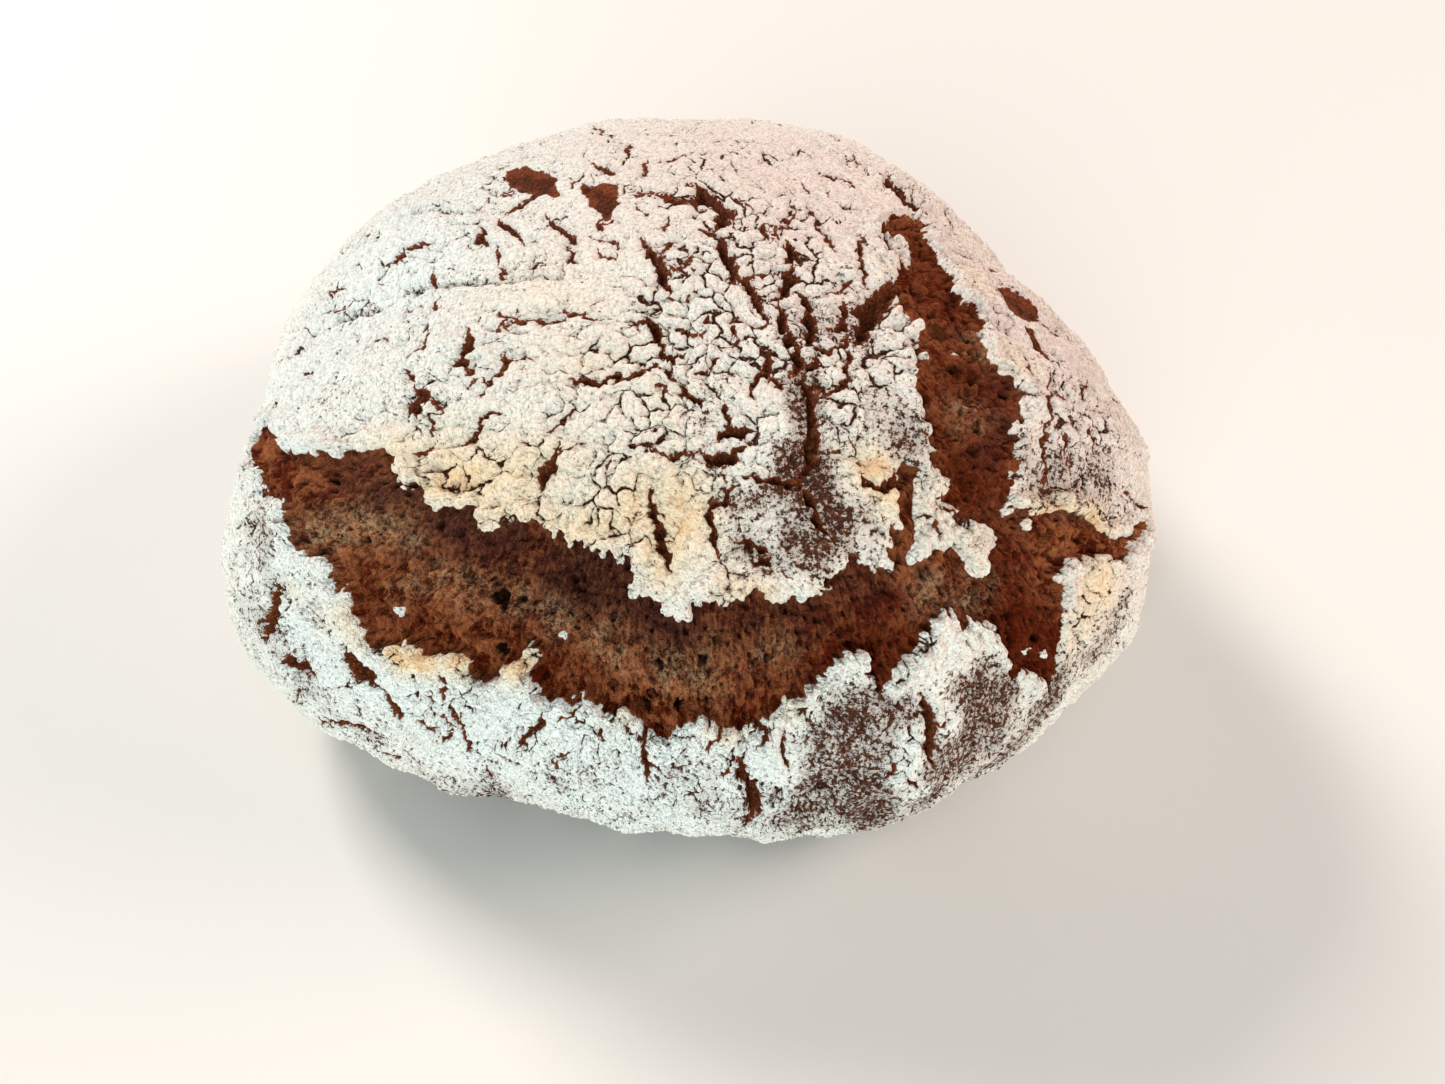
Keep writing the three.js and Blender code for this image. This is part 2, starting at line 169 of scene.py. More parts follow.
# Scraps of crust in the tears: (u, v, width).
SCRAPS = (
    (-17, -93, 3.6), (-21, -87, 1.6), (40, -81, 3.2), (70, -61, 1.7), (75, -62, 1.6), (37, -82, 2.0),
    (-46, -104, 3.8), (-73, -82, 1.9), (46, -30, 1.3), (67, -37, 1.1),
    (84, -90, 1.3), (92, -88, 1.4), (30, -84, 1.4), (46, -42, 1.6), (47, -45, 1.3),
    (48, -50, 1.4), (-37, -101, 0.9), (52, -27, 0.8), (58, -88, 0.9),
)

# ---- Cracks in the crust: the width, then the places that the crack runs through ----

CRACKS = (
    (3.2, (-2, 19), (-1, 15), (2, 12), (3, 8), (2, 3)),
    (2.7, (-1, 2), (2, -1), (4, -7), (6, -12), (6, -16)),
    (2.0, (6, -15), (9, -16), (10, -21), (11, -24), (13, -28)),
    (1.8, (-13, 0), (-11, -4), (-10, -8), (-10, -13), (-9, -23)),
    (0.6, (-9, -11), (-6, -13), (-2, -14)),
    (0.8, (6, -15), (12, -14), (15, -12)),
    (2.1, (-17, -29), (-14, -28), (-13, -31), (-12, -32), (-11, -37), (-10, -40), (-6, -40)),
    (1.3, (-31, -42), (-24, -45), (-22, -43), (-19, -45), (-15, -44), (-12, -42)),
    (1.1, (-12, -42), (-10, -44), (-8, -47)),
    (0.9, (-11, -48), (-8, -51)),
    (1.3, (-6, -49), (-4, -51), (-1, -54)),
    (1.0, (-9, -31), (-4, -34), (-2, -35), (0, -33)),
    (0.9, (0, -27), (-1, -31)),
    (0.8, (7, -26), (6, -31), (7, -36), (4, -38)),
    (2.6, (17, -1), (17, -8)),
    (2.3, (18, -10), (18, -15), (16, -21)),
    (2.2, (16, -22), (17, -27), (18, -32), (20, -37), (20, -42)),
    (2.4, (20, -41), (22, -45), (23, -49), (23, -55), (23, -60), (21, -68)),
    (1.4, (14, -37), (13, -42), (10, -46), (10, -50)),
    (1.0, (14, -44), (16, -46), (17, -47)),
    (2.3, (20, -18), (22, -21), (23, -26), (23, -30), (22, -34)),
    (0.9, (26, -16), (29, -13), (30, -10)),
    (1.7, (29, -18), (30, -22), (30, -26), (27, -28)),
    (1.4, (31, -28), (30, -33), (31, -37), (30, -42), (28, -45), (25, -46)),
    (1.1, (24, -34), (27, -35), (30, -33)),
    (1.6, (24, -37), (23, -41)),
    (1.4, (23, 18), (26, 13), (27, 6), (27, -1)),
    (0.8, (20, 29), (22, 25)),
    (0.7, (19, 18), (20, 12), (18, 6), (15, 3), (14, -2)),
    (1.2, (13, 6), (12, -1)),
    (0.7, (5, 7), (7, 2)),
    (0.5, (6, 15), (9, 12), (12, 11)),
    (0.9, (35, 7), (33, 0), (33, -10)),
    (0.5, (-8, 13), (-3, 10)),
    (0.6, (-14, 19), (-5, 14), (1, 12)),
    (2.0, (41, -11), (37, -13), (35, -18), (34, -22), (33, -28), (33, -32)),
    (4.2, (43, -8), (38.5, -11), (36, -14), (34.5, -19), (34, -23)),
    (1.0, (39, 6), (41, 3), (42, -2), (43, -4)),
    (0.9, (-18, -63), (-13, -63)),
    (0.8, (-13, -60), (-11, -60)),
    (1.0, (-12, -64), (-9, -66), (-4, -65), (-1, -64)),
    (2.6, (-1, -65), (3, -66), (6, -65), (8, -63)),
    (1.0, (4, -52), (5, -59), (4, -61)),
    (1.9, (3, -61), (6, -59), (10, -58)),
    (0.7, (26, -59), (28, -59), (30, -60)),
    (0.8, (32, -61), (34, -62)),
    (1.6, (34, -64), (37, -66), (40, -65), (42, -62)),
    (2.2, (-13, -73), (-12, -78), (-10, -84), (-9, -90)),
    (1.5, (7, -71), (4, -75), (1, -77), (2, -82), (3, -86)),
    (1.8, (9, -69), (16, -68), (22, -68)),
    (2.0, (22, -68), (24, -71), (25, -75), (28, -78)),
    (1.6, (8, -83), (14, -84)),
    (1.6, (11, -88), (15, -85)),
    (4.6, (-41, 35), (-35, 29), (-31, 23)),
    (3.8, (-22, 22), (-20, 18), (-19, 11)),
    (1.7, (-41, 15), (-40, 12), (-38, 9), (-37, 6)),
    (1.7, (-45, 13), (-46, 9), (-45, 7)),
    (1.5, (-31, 14), (-29, 10), (-27, 7), (-26, 3)),
    (0.7, (-43, 6), (-43, -1)),
    (1.0, (-43, -2), (-41, -6)),
    (1.2, (-29, 2), (-26, -6)),
    (1.2, (-58, 2), (-57, -3)),
    (0.7, (-54, -9), (-55, -13)),
    (1.6, (-45, -22), (-46, -27), (-48, -29), (-47, -33)),
    (0.8, (-39, -19), (-38, -21), (-40, -25)),
    (0.6, (-38, -21), (-32, -23), (-27, -22), (-21, -27)),
    (0.8, (-46, -39), (-44, -36), (-42, -35), (-41, -31), (-36, -33)),
    (1.6, (-58, -27), (-57, -30)),
    (1.8, (-57, -32), (-56, -34), (-58, -37), (-58, -39)),
    (0.8, (-56, -33), (-54, -37), (-53, -41)),
    (1.2, (-44, -45), (-47, -45), (-49, -48), (-51, -50)),
    (0.6, (-56, -41), (-57, -46)),
    (0.7, (-60, -48), (-57, -48)),
    (0.7, (-53, -18), (-54, -23), (-57, -24)),
    (1.0, (-30, -52), (-32, -53), (-34, -55)),
    (2.0, (-33, -59), (-34, -62), (-36, -64), (-37, -67)),
    (0.6, (-28, -60), (-33, -61)),
    (0.9, (-22, -65), (-23, -69)),
    (1.3, (-22, 30), (-18, 27)),
    (1.3, (-16, 40), (-16, 35)),
    (0.6, (-23, 4), (-17, -2)),
    (1.0, (-20, 9), (-20, 5)),
    (0.6, (-22, -2), (-17, -6)),
    (4.8, (42, 45), (49, 40.5), (55, 39), (60, 38), (65, 36), (69, 31)),
    (0.9, (34, 49), (37, 44)),
    (3.6, (67, -1), (71, -1), (75, -3), (79, 1)),
    (1.7, (72, -9), (74, -12), (75, -16)),
    (1.3, (81, -3), (87, 0)),
    (0.9, (75, -23), (74, -30), (74, -41), (76, -46), (78, -55)),
    (1.0, (79, -37), (81, -42)),
    (1.0, (88, -30), (88, -37)),
    (1.2, (88, -11), (88, -14)),
    (0.7, (69, -19), (69, -25)),
    (0.8, (-69, -99), (-70, -103), (-73, -105)),
    (1.4, (-72, -110), (-72, -113), (-73, -118), (-76, -122)),
    (0.8, (-80, -116), (-75, -114)),
    (2.0, (-45, -116), (-48, -120), (-52, -122), (-57, -124)),
    (0.8, (-64, -125), (-60, -130)),
    (0.8, (-42, -120), (-37, -119), (-35, -117)),
    (3.4, (-88, -97), (-89, -101), (-92, -107)),
    (4.4, (-91, -84), (-91, -90), (-89, -96)),
    (2.2, (-119, -94), (-113, -99), (-107, -102), (-104, -108)),
    (1.3, (-112, -111), (-103, -116)),
    (3.8, (-101, -61), (-105, -64), (-110, -66), (-119, -68)),
    (2.6, (-117, -76), (-112, -78), (-109, -81), (-108, -85)),
    (1.2, (-24, -121), (-23, -126)),
    (1.0, (-30, -123), (-31, -127)),
    (2.0, (-18, -124), (-19, -132), (-19, -141)),
    (1.2, (-73, -128), (-74, -133)),
    (3.4, (9, -132), (11, -136), (14, -141), (15, -147), (13, -155)),
    (2.7, (55, -107), (59, -112), (61, -118), (67, -124)),
    (1.0, (53, -124), (52, -129)),
    (1.0, (58, -128), (66, -131)),
    (1.1, (12, -121), (16, -123), (15, -127)),
    (1.0, (21, -122), (21, -127), (23, -132)),
    (1.0, (-12, 31), (-12, 25)),
    (1.3, (-14, 17), (-9, 15), (-5, 13), (0, 13)),
    (1.0, (-4, 20), (-1, 16)),
    (1.0, (52, -67), (56, -66), (60, -65)),
    (0.7, (47, -70), (50, -69), (52, -72)),
)
# Bald patches, where the flour has flaked off but the crust is whole: rings of (u, v).
BALD = (
    ((-42, 39), (-40, 40), (-34, 34), (-31, 29), (-29, 20), (-33, 23), (-37, 26), (-40, 32)),
    ((-24, 23), (-21, 22), (-17.5, 22), (-17.5, 15), (-18.5, 9), (-20, 13), (-22, 15), (-23, 19)),
    ((67, 1), (72, 4), (79, 6), (80, 1), (73, -6), (69, -7)),
    ((72, -9), (74, -10), (76, -16), (73, -16)),
    ((57, 42), (62, 37), (66, 33), (64, 38)),
)
CRACK_BIT = 1.3              # length of one straight bit of a crack
CRACK_WANDER = 0.75          # how far the bits stray sideways
CRACK_UNEVEN = (0.5, 1.5)    # each bit's width as a share of the crack's
CRACK_TURN = 0.7             # how far a further crack turns between its three stretches, radians
CRACK_REACH = 3.0            # how far from a crack its distance is still worked out
NO_CRACK = 20.0              # the distance given where there is none in reach
# Further cracks drawn by rule: how many, in which directions (degrees), how far down, how long.
MORE_CRACKS = (
    {"count": 46, "from": 10, "to": 172, "near": 40, "far": 172, "long": (5, 17), "wide": (0.5, 1.7)},
    {"count": 34, "from": 188, "to": 348, "near": 128, "far": 172, "long": (4, 11), "wide": (0.5, 1.2)},
    {"count": 22, "from": 330, "to": 372, "near": 74, "far": 165, "long": (4, 12), "wide": (0.5, 1.3)},
    {"count": 40, "from": 0, "to": 360, "near": 6, "far": 82, "long": (2, 6), "wide": (0.4, 0.8)},
)
# How the crust is rounded off beside cracks and torn edges, and curls up a little way back.
CRACK_ROUND = 0.6
CRACK_ROUND_REACH = 0.9
EDGE_ROUND = 0.9
EDGE_ROUND_REACH = 0.6
CURL = 1.4
CURL_AT = 1.8
CURL_WIDTH = 2.2
# Soft creases in the crust, and how deep and how wide they are.
CREASES = (
    ((-86, 31), (-80, 31), (-71, 28), (-63, 28), (-55, 25), (-46, 20), (-38, 16)),
    ((-91, 3), (-83, 2), (-75, -1), (-68, 0)),
    ((-70, 1), (-62, 0), (-53, -5), (-47, -6), (-40, -8), (-35, -10), (-28, -11)),
    ((-97, -20), (-94, -34), (-93, -44)),
    ((-40, 80), (-15, 88), (12, 86), (30, 78)),
    ((60, 85), (82, 66), (96, 42)),
)
CREASE_DEPTH = 1.5
CREASE_WIDTH = 1.1
FLAKED_DEPTH = 0.6           # how much lower bald patches lie

# ---- Where the flour is thin: (u, v, radius, how much of it is missing) ----

THIN_FLOUR = (
    # the powdered hollow beside the cap's lip
    (20, -42, 4, 0.5), (22, -47, 5, 0.7), (23, -53, 5, 0.8), (23, -59, 5, 0.85), (22, -65, 5, 0.8),
    (20, -70, 7, 0.7), (27, -76, 7, 0.8), (24, -82, 6, 0.7), (12, -78, 6, 0.48), (13, -86, 5, 0.45),
    (5, -73, 4, 0.35), (-1, -74, 4, 0.25), (36, -76, 5, 0.38), (31, -71, 4, 0.25), (38, -53, 7, 0.34),
    (48, -56, 6, 0.45), (45, -50, 6, 0.38), (38, -46, 6, 0.28), (30, -39, 6, 0.25), (23, -24, 4, 0.3),
    (27, -30, 7, 0.4), (0, -50, 5, 0.24), (-2, -57, 5, 0.24), (5, -46, 5, 0.2), (31, -24, 6, 0.3),
    (28, -14, 7, 0.28), (15, -31, 6, 0.22), (35, -34, 6, 0.3), (12, -58, 6, 0.24),
    (21, -64, 3, 0.6), (19, -68, 3, 0.7), (24, -67, 3, 0.6), (15, -71, 2.5, 0.7), (11, -74, 2.5, 0.7),
    (7, -76, 2.5, 0.7), (27, -76, 3, 0.5), (30, -79, 3, 0.5), (21, -82, 3, 0.6), (17, -85, 3, 0.6),
    (9, -84, 3, 0.6), (13, -87, 3, 0.6), (4, -85.5, 2.5, 0.5), (-1, -58, 3, 0.35), (44, -58, 5, 0.3),
    # the right flank
    (70, -45, 6, 0.34), (79, -48, 7, 0.56), (90, -44, 8, 0.5), (98, -42, 7, 0.4), (76, -53, 5, 0.4),
    (72, -25, 7, 0.2), (86, -25, 8, 0.2),
    # the skirt, from its left end to its right
    (-100, -59, 9, 0.42), (-100, -46, 9, 0.42), (-112, -71, 9, 0.45), (-111, -87, 9, 0.4),
    (-107, -105, 9, 0.45), (-95, -76, 4, 0.35), (-117, -60, 8, 0.3), (-99, -121, 9, 0.4),
    (-93, -83, 5, 0.3), (-79, -135, 8, 0.45),
    (-92, -70, 6, 0.22), (-73, -128, 7, 0.3), (-53, -138, 7, 0.36), (-36, -135, 7, 0.4),
    (-29, -150, 9, 0.34), (-14, -139, 6, 0.42), (-7, -131, 6, 0.34), (1, -136, 6, 0.32),
    (-4, -148, 9, 0.42), (11, -156, 8, 0.4), (14, -144, 6, 0.4), (38, -109, 5, 0.8),
    (42, -117, 8, 0.9), (41, -126, 7, 0.85), (47, -120, 5, 0.5), (35, -115, 6, 0.8),
    (33, -125, 6, 0.5), (28, -125, 8, 0.4), (30, -136, 8, 0.45), (51, -109, 6, 0.4),
    (70, -96, 4, 0.4), (67, -106, 5, 0.5), (58, -112, 4, 0.5), (72, -116, 6, 0.5),
    (85, -103, 6, 0.35), (61, -96, 5, 0.25),
    (49, -112, 4, 0.5), (31, -121, 4, 0.35), (62, -117, 4, 0.4), (50, -131, 6, 0.4), (36, -136, 6, 0.5),
    (45, -131, 8, 0.6), (22, -124, 5, 0.3), (28, -141, 8, 0.5), (43, -141, 9, 0.7), (28, -151, 8, 0.6),
    (54, -141, 9, 0.7), (66, -124, 6, 0.6), (72, -103, 6, 0.9), (66, -104, 4, 0.5), (80, -106, 6, 0.8),
    (86, -112, 8, 0.9), (76, -119, 7, 0.9), (90, -103, 6, 0.6), (106, -106, 9, 0.7), (97, -120, 9, 0.6),
    (78, -131, 9, 0.5), (60, -101, 3, 0.3), (75, -98, 4, 0.35), (-60, -150, 12, 0.25),
    (60, -146, 12, 0.4), (-90, -140, 12, 0.35), (40, -151, 10, 0.4), (72, -138, 9, 0.5),
    (92, -129, 9, 0.5), (110, -118, 9, 0.5), (108, -100, 6, 0.7), (88, -107, 5, 0.4), (82, -99, 4, 0.4),
    (52, -136, 6, 0.4), (70, -126, 5, 0.4), (114, -62, 8, 0.5), (109, -72, 7, 0.45),
    (113, -80, 8, 0.5), (104, -86, 7, 0.4), (106, -94, 7, 0.4), (120, -70, 8, 0.45),
    (87, -100, 5, 0.3),
    # white clumps among it: less than nothing is missing
    (36, -103, 4, -0.3), (24, -117, 5, -0.35), (29, -126, 4, -0.3), (33, -133, 4, -0.25),
    (47, -105, 4, -0.4), (57, -93, 6, -0.4), (68, -91, 5, -0.4), (63, -97, 4, -0.3), (57, -119, 4, -0.5),
    (56, -126, 4, -0.4), (65, -111, 3, -0.4), (66, -132, 4, -0.35), (18, -127, 5, -0.35),
    (24, -135, 4, -0.3), (90, -97, 3, -0.3), (96, -73, 6, -0.15),
    (13, -74, 4, -0.3), (33, -84, 3, -0.3), (40, -66, 4, -0.4), (11, -82, 3, -0.25),
    (-65, -112, 12, -0.12), (-35, -125, 9, -0.12), (27, -52, 2.5, -0.3), (17, -56, 3, -0.2),
    # the crown's left side
    (-73, -26, 5, 0.22), (-60, -33, 8, 0.12), (-50, -30, 9, 0.12), (-86, 3, 6, 0.14),
    (-78, 2, 5, 0.16), (-38, 27, 4, 0.15),
)
# Where the flour is combed into streaks: (u, v, radius, strength).
STREAKED = (
    (80, -40, 22, 0.8), (98, -30, 22, 0.7), (72, 10, 20, 0.5), (-95, 0, 25, 0.4), (60, 50, 25, 0.3),
    (-95, -70, 18, 0.5), (90, -95, 20, 0.4), (-40, -135, 18, 0.4), (0, -140, 18, 0.4),
)
# Where the fine net of cracks is more open: (u, v, radius, more half-width in mm).
CRAZED = (
    (12, -22, 24, 0.34), (-8, -42, 18, 0.26), (25, -42, 14, 0.26), (-45, -55, 20, 0.14),
    (40, -52, 8, -0.4), (10, 15, 20, 0.2), (80, -30, 25, 0.12), (-60, -110, 30, 0.08),
    (10, -128, 25, 0.12),
)
# Flour with painted bluish light, mostly on the left and front, and flour with painted warm reflected
# light, mostly on the right: (u, v, radius, strength).
COOL_LIT_FLOUR = (
    (-90, -5, 38, 0.8), (-100, -80, 36, 0.9), (-60, -125, 36, 1.0), (-10, -142, 36, 0.9),
    (45, -132, 32, 0.7), (-55, 30, 25, 0.5), (-62, -5, 18, 0.4), (10, 90, 60, 0.5), (-90, 80, 60, 0.6),
)
WARM_REFLECTED_FLOUR = (
    (25, 25, 34, 0.6), (75, -8, 34, 0.9), (15, -20, 20, 0.4), (92, -55, 25, 0.6), (-5, 45, 40, 0.35),
    (95, 70, 50, 0.5),
)
FULL_FLOUR = 0.88            # how thick the flour lies where none is missing, 0 to 1
THINNEST = 0.85              # the most that patches take off it
FOOT_BARE = 0.62             # how much less there is at the foot
FOOT_BARE_FROM = 158.0       # arc at which the flour starts to thin towards the foot
FOOT_BARE_TO = 186.0         # arc at which it is thinnest
GRANULE = 1.0                # caked flour's granules, mm across
CLUMP = 2.6                  # the clumps that the granules form
# Flour itself is a dust of about 0.1 mm, too fine to show, so its grains are drawn coarser.
GRAIN = 0.6
DUST = 0.32
NET_PLATE = 5.5              # plates between the lines of the fine net of cracks

# ---- Where the oven toasted the flour: (u, v, radius, strength) ----

TOASTED = (
    (-66, -46, 7, 0.4), (-58, -50, 8, 0.45), (-50, -56, 8, 0.45), (-40, -60, 8, 0.4), (-30, -64, 8, 0.3),
    (-59, -58, 5, 0.4), (-53, -62, 6, 0.45), (-46, -70, 7, 0.5), (-40, -76, 6, 0.5), (-32, -79, 6, 0.5),
    (-26, -80, 6, 0.45), (-18, -76, 7, 0.6), (-4, -75, 6, 0.55), (-6, -83, 5, 0.55), (-11, -90, 5, 0.6),
    (6, -93, 6, 0.6), (13, -93, 4, 0.5), (37, -62, 5, 0.8), (40, -68, 5, 0.6), (78, -57, 5, 0.9),
    (93, -54, 6, 0.8), (-77, -92, 4, 1.2), (-70, -95, 4.5, 1.3), (-62, -99, 4, 1.1), (-56, -101, 4, 0.9),
    (-51, -104, 4, 0.7), (-46, -105, 4, 0.7), (-84, -78, 4, 0.6), (-45, -66, 8, 0.12),
    (-10, -70, 9, 0.35), (0, -80, 8, 0.3), (-14, -84, 7, 0.3),
    (33, -60, 6, 0.35), (28, -88, 5, 0.3), (52, -64, 6, 0.35), (62, -72, 5, 0.35), (86, -56, 6, 0.6),
    (-10, -52, 8, 0.2), (-25, -38, 10, 0.25), (-30, -12, 12, 0.15), (-23, -120, 5, 0.4), (5, -123, 6, 0.4),
    (22, -116, 5, 0.3), (42, -5, 6, 0.3), (43, -16, 5, 0.3), (65, -24, 6, 0.35), (60, 0, 6, 0.3),
    (-85, -84, 3, 0.5), (-92, -76, 4, 0.4), (-97, -66, 4, 0.3),
    (95, -67, 6, 0.5), (101, -63, 6, 0.45), (97, -76, 7, 0.45), (106, -68, 7, 0.3), (103, -84, 7, 0.25),
)

# ---- The torn crumb (mm) ----

WALL_TOP = 1.8               # depth of the crumb right at the torn crust
WALL_SLOPE = 1.0             # how fast it deepens away from it
TUCK = 0.6                   # how far the crumb's edge runs in under the torn crust
VALLEY_DIRECTION = 258       # where the trough behind the skirt is deepest, in degrees
VALLEY_SPREAD = 26           # degrees to either side over which it gets shallower
VALLEY_LEAST = 0.55          # its depth at the tear's ends, as a share of the deepest
# Where the trough ends, the middle is level and the lip starts, as shares of the way from the
# skirt's edge to the cap's.
VALLEY_END = 0.42
MIDDLE_FROM = 0.45
LIP_START = 0.6
LIP_CALM = 0.55              # how much smoother the crumb is under the lip, 0 to 1
SHOULDER_FLOOR = (94, 86)    # arcs between which the shoulder's tear gets its own floor
SHOULDER_DEEPER = 1.15       # its depth against the crumb's depth elsewhere
RIDGES_DRAWN = 0.45          # how far ridges are drawn out along the tear, 0 to 1
RIDGE_SHARP = 2.4            # how narrow they are against the troughs between them
TEAR_ARC = 105.0             # mean arc of the front tear
STRAND_DRAWN = 3.4           # how many times longer than thick the crumb's strands are
STRAND = 0.9                 # strands, lumps, bits and opened bubbles of the crumb, across
CRUMB_LUMP = 1.7
CRUMB_BIT = 0.9
BUBBLE = 2.8
# Big pores: (u, v, radius, depth).
PORES = (
    (-51, -88, 1.9, 3.4), (-50.5, -90, 1.3, 2.8), (-47, -90, 1.2, 2.4), (-30, -99, 0.9, 1.6),
    (-26, -101, 1.8, 0.8), (-78, -46, 1.0, 2.0), (-60, -58, 1.3, 2.2), (-48, -65, 1.4, 2.0),
    (-1, -109, 1.6, 1.6), (-12, -110, 1.5, 1.3), (31, -85, 1.2, 1.8), (49, -81, 2.6, 1.3),
    (54, -84, 1.5, 1.2), (15, -106, 1.3, 1.5), (-18, -121, 2.2, 2.4), (-8, -120, 1.6, 2.2),
    (-47, -106, 2.2, 3.2), (-55, -100, 2.2, 2.8), (-7, -106, 1.4, 1.2), (3, -104, 1.2, 1.2),
    (59, -45, 1.3, 1.6), (49, -21, 2.3, 1.3), (53, -30, 2.1, 1.3), (59, -22, 1.6, 1.8),
    (42, -32, 1.0, 1.2), (70, -82, 1.4, 1.3), (87, -86, 1.6, 1.6), (-15, -117, 1.6, 2.0),
    (-70, -62, 2.0, 0.9), (-89, -60, 2.0, 2.2), (22, -102, 1.2, 1.2), (36, -97, 1.0, 1.1),
    (27, -96, 1.1, 1.0), (12, -98, 1.0, 1.0), (60, -92, 1.1, 1.1), (77, -84, 1.2, 1.3),
)
SMALL_PORES = 900            # many more, drawn at random between these limits
SMALL_PORE_DIRECTIONS = (190, 350)
SMALL_PORE_ARCS = (30, 135)
SMALL_PORE_RADII = (0.35, 1.25)
# Dark bands under the torn edges, partly the crumb's own purplish brown and partly painted shadow, and
# ochre patches, of the crumb: (u, v, radius, strength).
DARK_AND_SHADOWED_CRUMB = (
    (-56, -68, 8, 0.9), (-48, -74, 7, 0.9), (-35, -88, 9, 1.0), (-25, -91, 8, 1.0), (-14, -97, 8, 0.9),
    (-4, -104, 7, 0.7), (65, -41, 4, 1.0), (64, -31, 4, 0.8), (-75, -48, 6, 0.7), (-66, -55, 6, 0.8),
    (36, -88, 7, 0.5), (24, -96, 7, 0.5), (10, -99, 7, 0.5), (62, -50, 4, 0.7), (-90, -50, 5, 0.5),
)
OCHRE_CRUMB = (
    (-81, -58, 5, 0.9), (-72, -60, 5, 0.8), (-66, -66, 5, 0.9), (-60, -79, 5, 0.6), (-55, -86, 5, 0.5),
    (-46, -91, 5, 0.9), (-38, -95, 5, 1.0), (-28, -100, 5, 1.0), (-20, -107, 5, 0.8), (-11, -111, 5, 0.8),
    (0, -111, 6, 0.8), (16, -104, 5, 0.8), (57, -42, 5, 0.5), (51, -85, 5, 0.7), (60, -84, 5, 0.6),
    (67, -81, 4, 0.6), (-87, -54, 4, 0.6), (-70, -78, 4, 0.4), (58, -22, 5, 0.4), (-1, -104, 3, 0.5),
)
# Redder, darker crumb: (u, v, radius, strength).
RED_CRUMB = (
    (50, 10, 12, 0.7), (54, -10, 13, 0.8), (57, -34, 12, 0.8), (60, -57, 12, 0.9), (66, -77, 10, 0.9),
    (80, -88, 12, 1.0), (70, -96, 12, 1.0), (97, -88, 12, 1.0), (50, -92, 10, 0.6), (34, -96, 10, 0.5),
    (-85, -76, 10, 0.5), (-70, -88, 8, 0.6), (-46, -104, 8, 0.7), (-92, -42, 6, 0.6),
    (26, -110, 10, 0.6), (42, -105, 10, 0.7), (10, -118, 8, 0.5), (-30, -112, 8, 0.4),
)


# ---- Settings that a user would change ----

def setting(kind, name, description, default, **more):
    """One add-on setting of that kind of bpy.props property."""
    return kind(name=name, description=description, default=default, **more)


def length(name, description, default):
    """One setting that is a length in metres."""
    return setting(bpy.props.FloatProperty, name, description, default, unit="LENGTH", precision=5)


def linear(hex_colour):
    """An sRGB hex colour, such as "EDE6D8", as linear red, green and blue."""
    parts = [int(hex_colour[i:i + 2], 16) / 255 for i in (0, 2, 4)]
    return tuple(p / 12.92 if p <= 0.04045 else ((p + 0.055) / 1.055) ** 2.4 for p in parts)


def colour(name, description, hex_colour):
    """One setting that is a colour."""
    return setting(bpy.props.FloatVectorProperty, name, description, linear(hex_colour),
                   subtype="COLOR", size=3, min=0.0, max=1.0)


class LoafSizes(bpy.types.PropertyGroup):
    """Real sizes of the loaf"""
    height: length("Height", "Resting face to crown", 0.110)
    waist_height: length("Waist height", "Height of the widest outline", 0.032)
    foot_inset: length("Foot inset", "How far the crust tucks in under the waist", 0.024)
    crack_depth: length("Crack depth", "Deepest crack in the crust", 0.0024)
    lip_depth: length("Lip depth", "Step from the cap's torn edge down to the crumb", 0.0024)
    valley_depth: length("Valley depth", "Trough behind the skirt's torn edge", 0.0042)
    crumb_depth: length("Crumb depth", "Depth of the crumb in the middle of a tear", 0.0014)
    flour_thickness: length("Flour thickness", "Thickness of the caked flour", 0.0006)


class LoafColours(bpy.types.PropertyGroup):
    """Colours of the loaf's finishes"""
    flour: colour("Flour", "Caked rye flour", "F4EADC")
    # Painted light: a bluish tint of light on the flour's left and front.
    flour_cool_light: colour("Thick flour", "The whitest flour", "F2F3EC")
    flour_toasted: colour("Toasted flour", "Flour browned by the oven", "FADBAE")
    flour_scorched: colour("Scorched flour", "Flour on the lips that browned most", "E8B488")
    # Painted light: warm reflected light on the flour's right.
    flour_warm_reflection: colour("Rosy flour", "Flour over a warm crust", "EEDACF")
    # Crust showing through thin flour, and painted shade between the flour's granules.
    flour_thin_and_shaded: colour("Flour pits", "Crust showing through thin flour", "8E7468")
    crust: colour("Crust", "Crust that broke open", "7C3A20")
    crust_under: colour("Dusted crust", "Crust that lost its flour", "4C2C22")
    # Painted shade: deep in cracks, in the fine net's lines, in low places of bare crust and in the
    # crumb's hollows.
    crust_shade: colour("Dark crust", "Crust deep in a crack", "2E1610")
    crumb: colour("Crumb", "Torn rye crumb", "AB5D39")
    # Painted highlights on raised bits of crumb and on bare crust.
    crumb_highlight: colour("Crumb bits", "Bits of crumb that catch the light", "B87443")
    crumb_ochre: colour("Ochre crumb", "Lighter, yellower crumb", "D2B48A")
    crumb_red: colour("Red crumb", "Redder, baked crumb", "68200A")
    # The crumb's own dark purplish band, darkened as painted shadow under the lip.
    crumb_dark_and_lip_shadow: colour("Dark crumb", "Smooth dark band under the lip", "562C24")
    # Painted shade inside the big pores.
    crumb_pore_shade: colour("Pores", "Inside of the crumb's big pores", "160A05")


class StageSettings(bpy.types.PropertyGroup):
    """Camera, floor and light"""
    camera_place: setting(bpy.props.FloatVectorProperty, "Camera place", "Where the camera stands",
                          (0.00965, -0.21542, 0.229), subtype="TRANSLATION", size=3)
    camera_dip: setting(bpy.props.FloatProperty, "Camera dip", "How far the camera looks down",
                        math.radians(48), subtype="ANGLE")
    lens: setting(bpy.props.FloatProperty, "Lens", "Focal length in millimetres", 25.91)
    air_light: setting(bpy.props.FloatProperty, "Air light", "Strength of the even light", 0.3)
    floor_size: length("Floor size", "Side of the square floor", 24.0)
    floor_colour: colour("Floor", "Plain pale floor", "DEDAD4")


# ---- The dome's form ----

